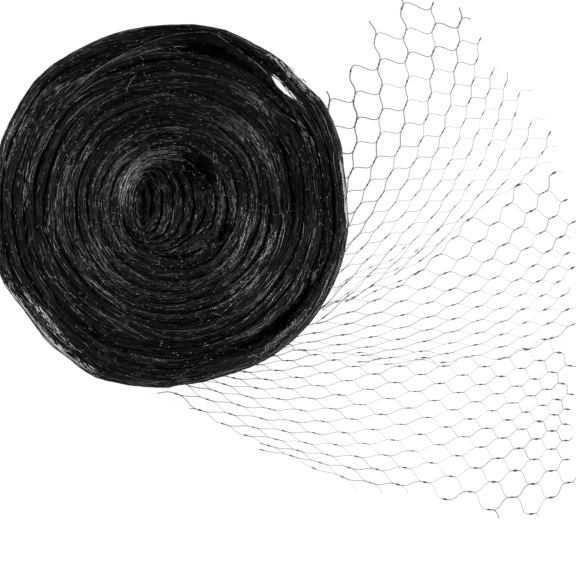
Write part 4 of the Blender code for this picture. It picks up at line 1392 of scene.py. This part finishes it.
def straight_ended_weights(known, wanted, margin):
    """The same weights, going on in a straight line from a margin past the first and last known number."""
    inner = np.clip(wanted, known[0] - margin, known[-1] + margin)
    slope = lagrange_weights(known, inner + 0.5) - lagrange_weights(known, inner - 0.5)
    return lagrange_weights(known, inner) + (wanted - inner)[:, None] * slope


def panel_places(panel, lines, steps):
    """Places of the knots by line and step: a smooth surface through the panel's pull lines.

    The place is the sum over the pull lines and their steps of weight across x weight outward x place.
    """
    table = np.array([row[1:] for row in panel["lines"]], float).reshape(len(panel["lines"]), -1, 2)
    across = straight_ended_weights([row[0] for row in panel["lines"]], lines, 3)
    outward = straight_ended_weights(panel["steps"], steps, 1)
    return np.einsum("la,aoc,so->lsc", across, table, outward) * MM


def inside_cut_edge(places):
    """True inside the cut edge: a ray to the right crosses the outline an odd number of times."""
    x, y = places[..., 0], places[..., 1]
    inside = np.zeros(x.shape, bool)
    for (x0, y0), (x1, y1) in zip(CUT_EDGE, CUT_EDGE[1:] + CUT_EDGE[:1]):
        x0, y0, x1, y1 = x0 * MM, y0 * MM, x1 * MM, y1 * MM
        spans = (y0 > y) != (y1 > y)
        inside ^= spans & (x < x0 + (y - y0) * (x1 - x0) / (y1 - y0 + (y1 == y0)))
    return inside


def above_line(places, fold):
    """Height over a fold line, in Y."""
    known = np.array(fold, float) * MM
    return places[..., 1] - np.interp(places[..., 0], known[:, 0], known[:, 1])


def piled_up(name, places):
    """Places with those that lie under the upper fold moved up to pile on it.

    The height over the fold becomes PILE log(1 + exp(height / PILE)), which is the height itself far above
    the fold and nearly nothing below it. Below the fold a small share of the height is added, so that the
    piled meshes don't all meet in one line.
    """
    if name != "upper":
        return places
    height = above_line(places, UPPER_FOLD)
    raised = PILE * np.logaddexp(0.0, height / PILE) + PILE_SLOPE * np.minimum(height, 0.0)
    return places + np.stack((0.0 * height, raised - height), axis=-1)


def outside_rim(places):
    """Distance outside the hidden inner end of the net, under the roll's rim."""
    angle = np.arctan2(places[..., 1], places[..., 0])
    return np.hypot(places[..., 0], places[..., 1]) - (rim_radius(angle) - TUCK)


def room_in_panel(name, places):
    """How far inside its panel a flat, not yet piled-up place lies; negative past the panel's end."""
    room = outside_rim(piled_up(name, places))
    if name == "upper":
        room = np.minimum(room, above_line(places, UPPER_FOLD) + PILED_DEPTH)
    if name == "middle":
        room = np.minimum(room, OVERLAP - above_line(places, UPPER_FOLD))
        room = np.minimum(room, above_line(places, LOWER_FOLD) + OVERLAP)
    if name == "lower":
        room = np.minimum(room, OVERLAP - above_line(places, LOWER_FOLD))
    return room


toward_fan = np.radians((-90.0, -45.0, 0.0, 45.0))
print("rim's radius beside the fan, mm:", (rim_radius(toward_fan) / MM).round(1))

# %% [markdown]
# Extruded strands are flat. Pulled tight they turn on edge and look thinner, so each panel has its own
# sizes. A knot is the short stretch where two strands are one. Strands look stouter where the net bunches at
# the roll, far out where the meshes are fully open, and where they join a knot.

# %% How thick the fan's strands are
KNOT_LENGTH = 3.1 * MM
KNOT_PROFILE = np.array((0.32, 0.55, 0.85, 1.0, 0.85, 0.55, 0.32))   # its radius along it, as shares
PANEL_LOOKS = {
    # panel: radius of strands toward the next line, toward the line before and of knots, height, all in mm;
    # how far the knots lean toward the first kind of strand
    "upper": (0.320, 0.240, 0.50, 0.30, 0.50),
    "middle": (0.275, 0.200, 0.55, 0.75, 0.20),
    "lower": (0.232, 0.205, 0.52, 0.35, 0.15),
}
# Extruded net is uneven: strands near its edges and folds come out stouter than those between.
STOUTNESS = {
    # panel: (line, share of the radius)
    "upper": ((-6, 0.70), (3, 0.58), (7, 0.56), (12, 0.76), (16, 1.02), (20, 1.30)),
    "middle": ((-2, 0.70), (4, 0.62), (10, 0.66), (16, 0.82), (20, 1.00)),
    "lower": ((0, 1.00), (4, 0.85), (8, 0.76), (14, 0.76), (20, 0.90)),
}
BUNCHED = 0.90                 # strands are that share thicker where they bunch at the roll
BUNCHED_REACH = 14.0 * MM
OPENED = 0.50                  # and that share thicker where the meshes are fully open, far from it
OPENED_REACH = 160.0 * MM
FLARE = 0.4                    # and that share where a strand joins its knot
UNEVEN = (0.8, 1.2)            # from strand to strand
KNOT_UNEVEN = (0.7, 1.15)


def thickening(places):
    """How much thicker strands are than their own radius, by place.

    It is 1, plus a share that dies away from the roll outward, plus one that grows with the fourth power of
    the distance.
    """
    distance = np.maximum(outside_rim(places), 0.0)
    opened = np.minimum(distance / OPENED_REACH, 1.0) ** 4
    return 1.0 + BUNCHED * np.exp(-distance / BUNCHED_REACH) + OPENED * opened


print("thickening at the rim:", round(float(thickening(np.array((ROLL_START_RADIUS, 0.0)))), 2))

# %% [markdown]
# First the knots: where each one stands, which way the net is pulled there, and which of them are held.
# A knot is held when it lies inside the cut edge and inside its own panel.

# %% The lattice of a panel
def pull_directions(name, lines, steps):
    """Unit vectors along which the net is pulled, by line and step.

    straight is the way over two half steps outward and slant the way over two half lines across. The strands
    toward the next line run along their sum, and the pull leans from straight toward that sum.
    """
    panel = PANELS[name]
    half = 0.5
    straight = (
        piled_up(name, panel_places(panel, lines, steps + half))
        - piled_up(name, panel_places(panel, lines, steps - half))
    )
    slant = (
        piled_up(name, panel_places(panel, lines + half, steps))
        - piled_up(name, panel_places(panel, lines - half, steps))
    )
    lean = PANEL_LOOKS[name][4]
    return unit(unit(straight) * (1.0 - lean) + lean * unit(straight + slant))


def panel_net(name):
    """A panel's lattice by line and step: what stands where, which knots are real, inside and held."""
    panel = PANELS[name]
    lines = np.arange(panel["line_range"][0], panel["line_range"][1] + 1)
    steps = np.arange(panel["step_range"][0], panel["step_range"][1] + 1)
    flat_centre = panel_places(panel, lines, steps)
    centre = piled_up(name, flat_centre)
    pull = pull_directions(name, lines, steps)
    real = (lines[:, None] + steps[None, :]) % 2 == 0
    cut_in = inside_cut_edge(centre)
    room = room_in_panel(name, flat_centre)
    known = np.array(STOUTNESS[name])
    return {
        "tail": centre - 0.5 * KNOT_LENGTH * pull,
        "head": centre + 0.5 * KNOT_LENGTH * pull,
        "pull": pull,
        "real": real,
        "cut_in": cut_in,
        "held": real & cut_in & (room > 0.0),
        "under": (room <= 0.0) & (outside_rim(centre) <= 0.0),
        "stoutness": np.interp(lines, known[:, 0], known[:, 1]),
    }


print("knots held:", {name: int(panel_net(name)["held"].sum()) for name in PANELS})

# %% [markdown]
# Then the strands between them. A strand with both knots held is whole. Where one of its knots lies past the
# cut edge, some strands keep a stretch of random length and the others are gone. Where one lies under the
# roll, the strand is cut at the hidden inner end, under the rim.

# %% Which strands show
CUT_STRANDS = 0.55             # share of the strands out past the cut edge that keep a stretch
CUT_BACKWARD = 0.12            # and of those that come in from past it
CUT_STRETCH = (0.25, 0.75)     # how much of such a strand is left
MOST_UNDER = 0.95              # share of a strand that the rim may hide


def shown_strands(net, shift):
    """Knots and stretches of the strands toward the next line, shift 1, or the line before, shift -1.

    Each runs from a knot at l0, s0 to one at l1, s1, and start and stop are the shares of that way between
    which it shows.
    """
    lines, steps = net["real"].shape
    l0, s0 = np.nonzero(net["real"])
    fits = (l0 + shift >= 0) & (l0 + shift < lines) & (s0 + 1 < steps)
    l0, s0 = l0[fits], s0[fits]
    l1, s1 = l0 + shift, s0 + 1
    near, far = net["held"][l0, s0], net["held"][l1, s1]
    out_end = near & ~net["cut_in"][l1, s1] & (rng.random(len(l0)) < CUT_STRANDS)
    in_end = far & ~net["cut_in"][l0, s0] & (rng.random(len(l0)) < CUT_BACKWARD)
    under = far & net["under"][l0, s0]
    under_out = near & net["under"][l1, s1]
    short = rng.uniform(*CUT_STRETCH, len(l0))
    start = np.where(in_end, 1.0 - short, 0.0)
    stop = np.where(out_end, short, 1.0)
    depth0, depth1 = outside_rim(net["tail"])[l0, s0], outside_rim(net["tail"])[l1, s1]
    cross = np.clip(depth0 / np.where(depth0 == depth1, 1.0, depth0 - depth1), 0.0, MOST_UNDER)
    start = np.where(under, cross, start)
    stop = np.where(under_out, np.maximum(cross, 1.0 - MOST_UNDER), stop)
    shown = (near & far) | out_end | in_end | under | under_out
    return [numbers[shown] for numbers in (l0, s0, l1, s1, start, stop)]


# %% [markdown]
# Last the tubes themselves. A strand leaves its knot in the direction in which the net is pulled there and
# arrives at the next knot in that knot's direction, which bends it into a slight S and rounds the meshes. It
# also curls a little sideways and arches up. A knot is a short spindle between its two ends.

# %% Strands and knots of the fan
FAN_POINTS = 8
HANDLE = 0.45                  # how far a strand keeps its knot's direction, as a share of its length
CURL = 0.25 * MM               # how far a strand bends aside, in the mean
FAN_ARCH_MM = 0.9              # the most that it arches up
KNOT_ENDS = 0.12               # how far a knot's spindle runs on past its ends, as a share of its length


def bezier(start, leave, arrive, end, t):
    """Places of cubic curves: their four points weighted with the powers of t and 1 - t."""
    s = 1.0 - t
    weights = (s ** 3, 3.0 * s * s * t, 3.0 * s * t * t, t ** 3)
    points = (start, leave, arrive, end)
    return sum(w[..., None] * p[:, None, :] for w, p in zip(weights, points))


def with_height(flat, height):
    """Places made of flat ones and their heights."""
    return np.concatenate((flat, height[..., None]), axis=-1)


def strand_tubes(net, shift, radius, level):
    """Paths and radii of the strands toward the next line, shift 1, or the line before, shift -1."""
    l0, s0, l1, s1, start, stop = shown_strands(net, shift)
    p0, p1 = net["head"][l0, s0], net["tail"][l1, s1]
    reach = HANDLE * np.linalg.norm(p1 - p0, axis=1, keepdims=True)
    t = start[:, None] + (stop - start)[:, None] * np.linspace(0.0, 1.0, FAN_POINTS)[None, :]
    flat = bezier(p0, p0 + reach * net["pull"][l0, s0], p1 - reach * net["pull"][l1, s1], p1, t)
    curl = rng.normal(0.0, CURL, (len(l0), 1)) * np.sin(np.pi * t)
    arch = rng.uniform(0.0, FAN_ARCH_MM, (len(l0), 1)) * MM * np.sin(np.pi * t) ** 2
    side = np.stack((-(p1 - p0)[:, 1], (p1 - p0)[:, 0]), axis=-1)
    flat = flat + curl[..., None] * unit(side)[:, None, :]
    flare = 1.0 + FLARE * (1.0 - np.sin(np.pi * t)) ** 3
    swell = flare * net["stoutness"][l0][:, None] * thickening(flat)
    thickness = radius * swell * rng.uniform(*UNEVEN, (len(l0), 1))
    return with_height(flat, np.maximum(level + arch, thickness)), thickness


def knot_tubes(net, radius, level):
    """Paths and radii of the knots, which are stoutest halfway between their two ends."""
    line, step = np.nonzero(net["held"])
    t = np.linspace(-KNOT_ENDS, 1.0 + KNOT_ENDS, len(KNOT_PROFILE))[None, :, None]
    knots = net["tail"][line, step][:, None] * (1.0 - t) + net["head"][line, step][:, None] * t
    radii = radius * KNOT_PROFILE[None, :] * rng.uniform(*KNOT_UNEVEN, (len(line), 1))
    radii = radii * net["stoutness"][line][:, None] ** 0.5 * thickening(knots)
    return with_height(knots, np.maximum(level, radii)), radii


def fan_strands(name):
    """Paths and radii of one panel's strands and of its knots."""
    net = panel_net(name)
    toward, before, knot_radius, level = (value * MM for value in PANEL_LOOKS[name][:4])
    kinds = [strand_tubes(net, 1, toward, level), strand_tubes(net, -1, before, level)]
    paths, radii = (np.concatenate(rows) for rows in zip(*kinds))
    knots, knot_radii = knot_tubes(net, knot_radius, level)
    return paths, radii, knots, knot_radii


# %% [markdown]
# Where the upper panel is folded on the middle one, next to the roll, more strands lie close together than
# either panel has. They are laid one by one, as chains of knots that run outward and thin away.

# %% The folded edge
FOLD_CHAINS = (
    # share of the radius; x_mm and y_mm of the chain's start near the rim and then of its knots, outward
    (0.9, ((92.9, -63.1), (108.7, -53.9), (121.8, -43.4), (139.4, -38.7), (151.7, -27.2), (165.2, -14.6))),
    (0.8, ((98.9, -54.4), (108.3, -45.4), (122.9, -37.7), (135.9, -33.1), (143.9, -25.6))),
    (1.2, ((91.4, -65.1), (102.4, -59.1), (112.4, -56.4), (123.4, -49.6))),
    (1.3, ((116.4, -58.1), (125.8, -52.6), (141.4, -46.3), (151.2, -42.0))),
)
FOLD_HEIGHT = 0.9 * MM
FOLD_REACH = 18.0 * MM         # a chain's strands thin away over that distance from the roll
FOLD_RADII = (0.10 * MM, 0.28 * MM)        # of a strand far from the roll, and how much more close to it
FOLD_KNOT_RADII = (0.34 * MM, 0.20 * MM)   # the same of a knot


def fold_strands():
    """Paths and radii of the fold's strands and knots: cubic curves that keep the chain's own direction."""
    thin, more = FOLD_RADII
    knot_thin, knot_more = FOLD_KNOT_RADII
    chains = []
    for share, chain in FOLD_CHAINS:
        places = np.array(chain) * MM
        pull = unit(np.gradient(places, axis=0))
        tail = places - 0.5 * KNOT_LENGTH * pull
        head = places + 0.5 * KNOT_LENGTH * pull
        ends = (head[:-1], tail[1:], pull[:-1], pull[1:], places[1:])
        chains.append(ends + (np.full((len(places) - 1, 1), share),))
    start, end, leave, arrive, knot, share = (np.concatenate(rows) for rows in zip(*chains))
    reach = HANDLE * np.linalg.norm(end - start, axis=1, keepdims=True)
    t = np.broadcast_to(np.linspace(0.0, 1.0, FAN_POINTS), (len(start), FAN_POINTS))
    flat = bezier(start, start + reach * leave, end - reach * arrive, end, t)
    near = np.exp(-np.maximum(outside_rim(flat), 0.0) / FOLD_REACH)
    radii = share * (thin + more * near)
    t = np.linspace(-0.5 - KNOT_ENDS, 0.5 + KNOT_ENDS, len(KNOT_PROFILE))[None, :, None]
    knots = knot[:, None] + t * KNOT_LENGTH * arrive[:, None]
    knot_radii = share * (knot_thin + knot_more * near[:, -1:]) * KNOT_PROFILE[None, :]
    strands = with_height(flat, np.full(radii.shape, FOLD_HEIGHT))
    return strands, radii, with_height(knots, np.full(knot_radii.shape, FOLD_HEIGHT)), knot_radii


print("strands and knots of the fold:", sum(len(chain) - 1 for share, chain in FOLD_CHAINS))

# %% [markdown]
# Each panel is one piece: its strands and knots are tubes, the strands paler than the knots. They are thin
# enough for the bright table to shine through and round them, and that light is painted into their colour,
# the paler the thinner the strand.
#
# A net has no cut size like a cloth's, because it opens and shuts; what stays the same is its plastic.

# %% The panels as pieces
FAN_SIDES = 5
KNOT_SIDES = 6
THICK = 0.50 * MM              # a strand of this radius is at the dark end of its shades
OWN_NET_SHADE = 0.25           # how much of a strand's shade is its own and not its thickness's
# The strands' pale colour paints the table's light into them.
net_plastic_painted_pale = strand_material("net_plastic_painted_pale", dark=0.10, light=0.92, roughness=0.38, specular=0.5)
knot_plastic = strand_material("knot_plastic", dark=0.025, light=0.170, roughness=0.38, specular=0.4)


def join_parts(parts):
    """Join places and face groups of several tube sets into one."""
    places, groups, start = [], [], 0
    for part_places, part_groups in parts:
        places.append(part_places)
        groups.extend(group + start for group in part_groups)
        start += len(part_places)
    return np.concatenate(places), groups


def build_panel(name):
    """One panel as a single piece; it prints how many strands and knots it has."""
    parts = fan_strands(name)
    if name == "middle":
        parts = [np.concatenate(pair) for pair in zip(parts, fold_strands())]
    strand_paths, strand_radii, knot_paths, knot_radii = parts
    places, groups = join_parts((
        tubes(strand_paths, strand_radii, FAN_SIDES, UP),
        tubes(knot_paths, knot_radii, KNOT_SIDES, UP),
    ))
    strand_faces = len(strand_paths) * ((FAN_POINTS - 1) * FAN_SIDES + 2)
    in_knot = (np.arange(sum(len(group) for group in groups)) >= strand_faces).astype(int)
    # Painted light: the thinner a strand, the paler its shade, for the table's light that shines through and
    # round it.
    thin = 1.0 - np.clip(strand_radii.mean(axis=1) / THICK, 0.0, 1.0)
    own_shade = OWN_NET_SHADE * rng.random(len(thin)) + (1.0 - OWN_NET_SHADE) * thin
    strand_shade = per_place(own_shade, FAN_POINTS, FAN_SIDES)
    shade = np.concatenate((strand_shade, rng.random(len(places) - len(strand_shade))))
    plastics = [net_plastic_painted_pale, knot_plastic]
    net = add_piece(name + "_net", places, groups, plastics, {"shade": shade}, in_knot)
    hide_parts("loose_end")
    print(name, "strands:", len(strand_paths), "knots:", len(knot_paths))


for panel_name in PANELS:
    build_panel(panel_name)
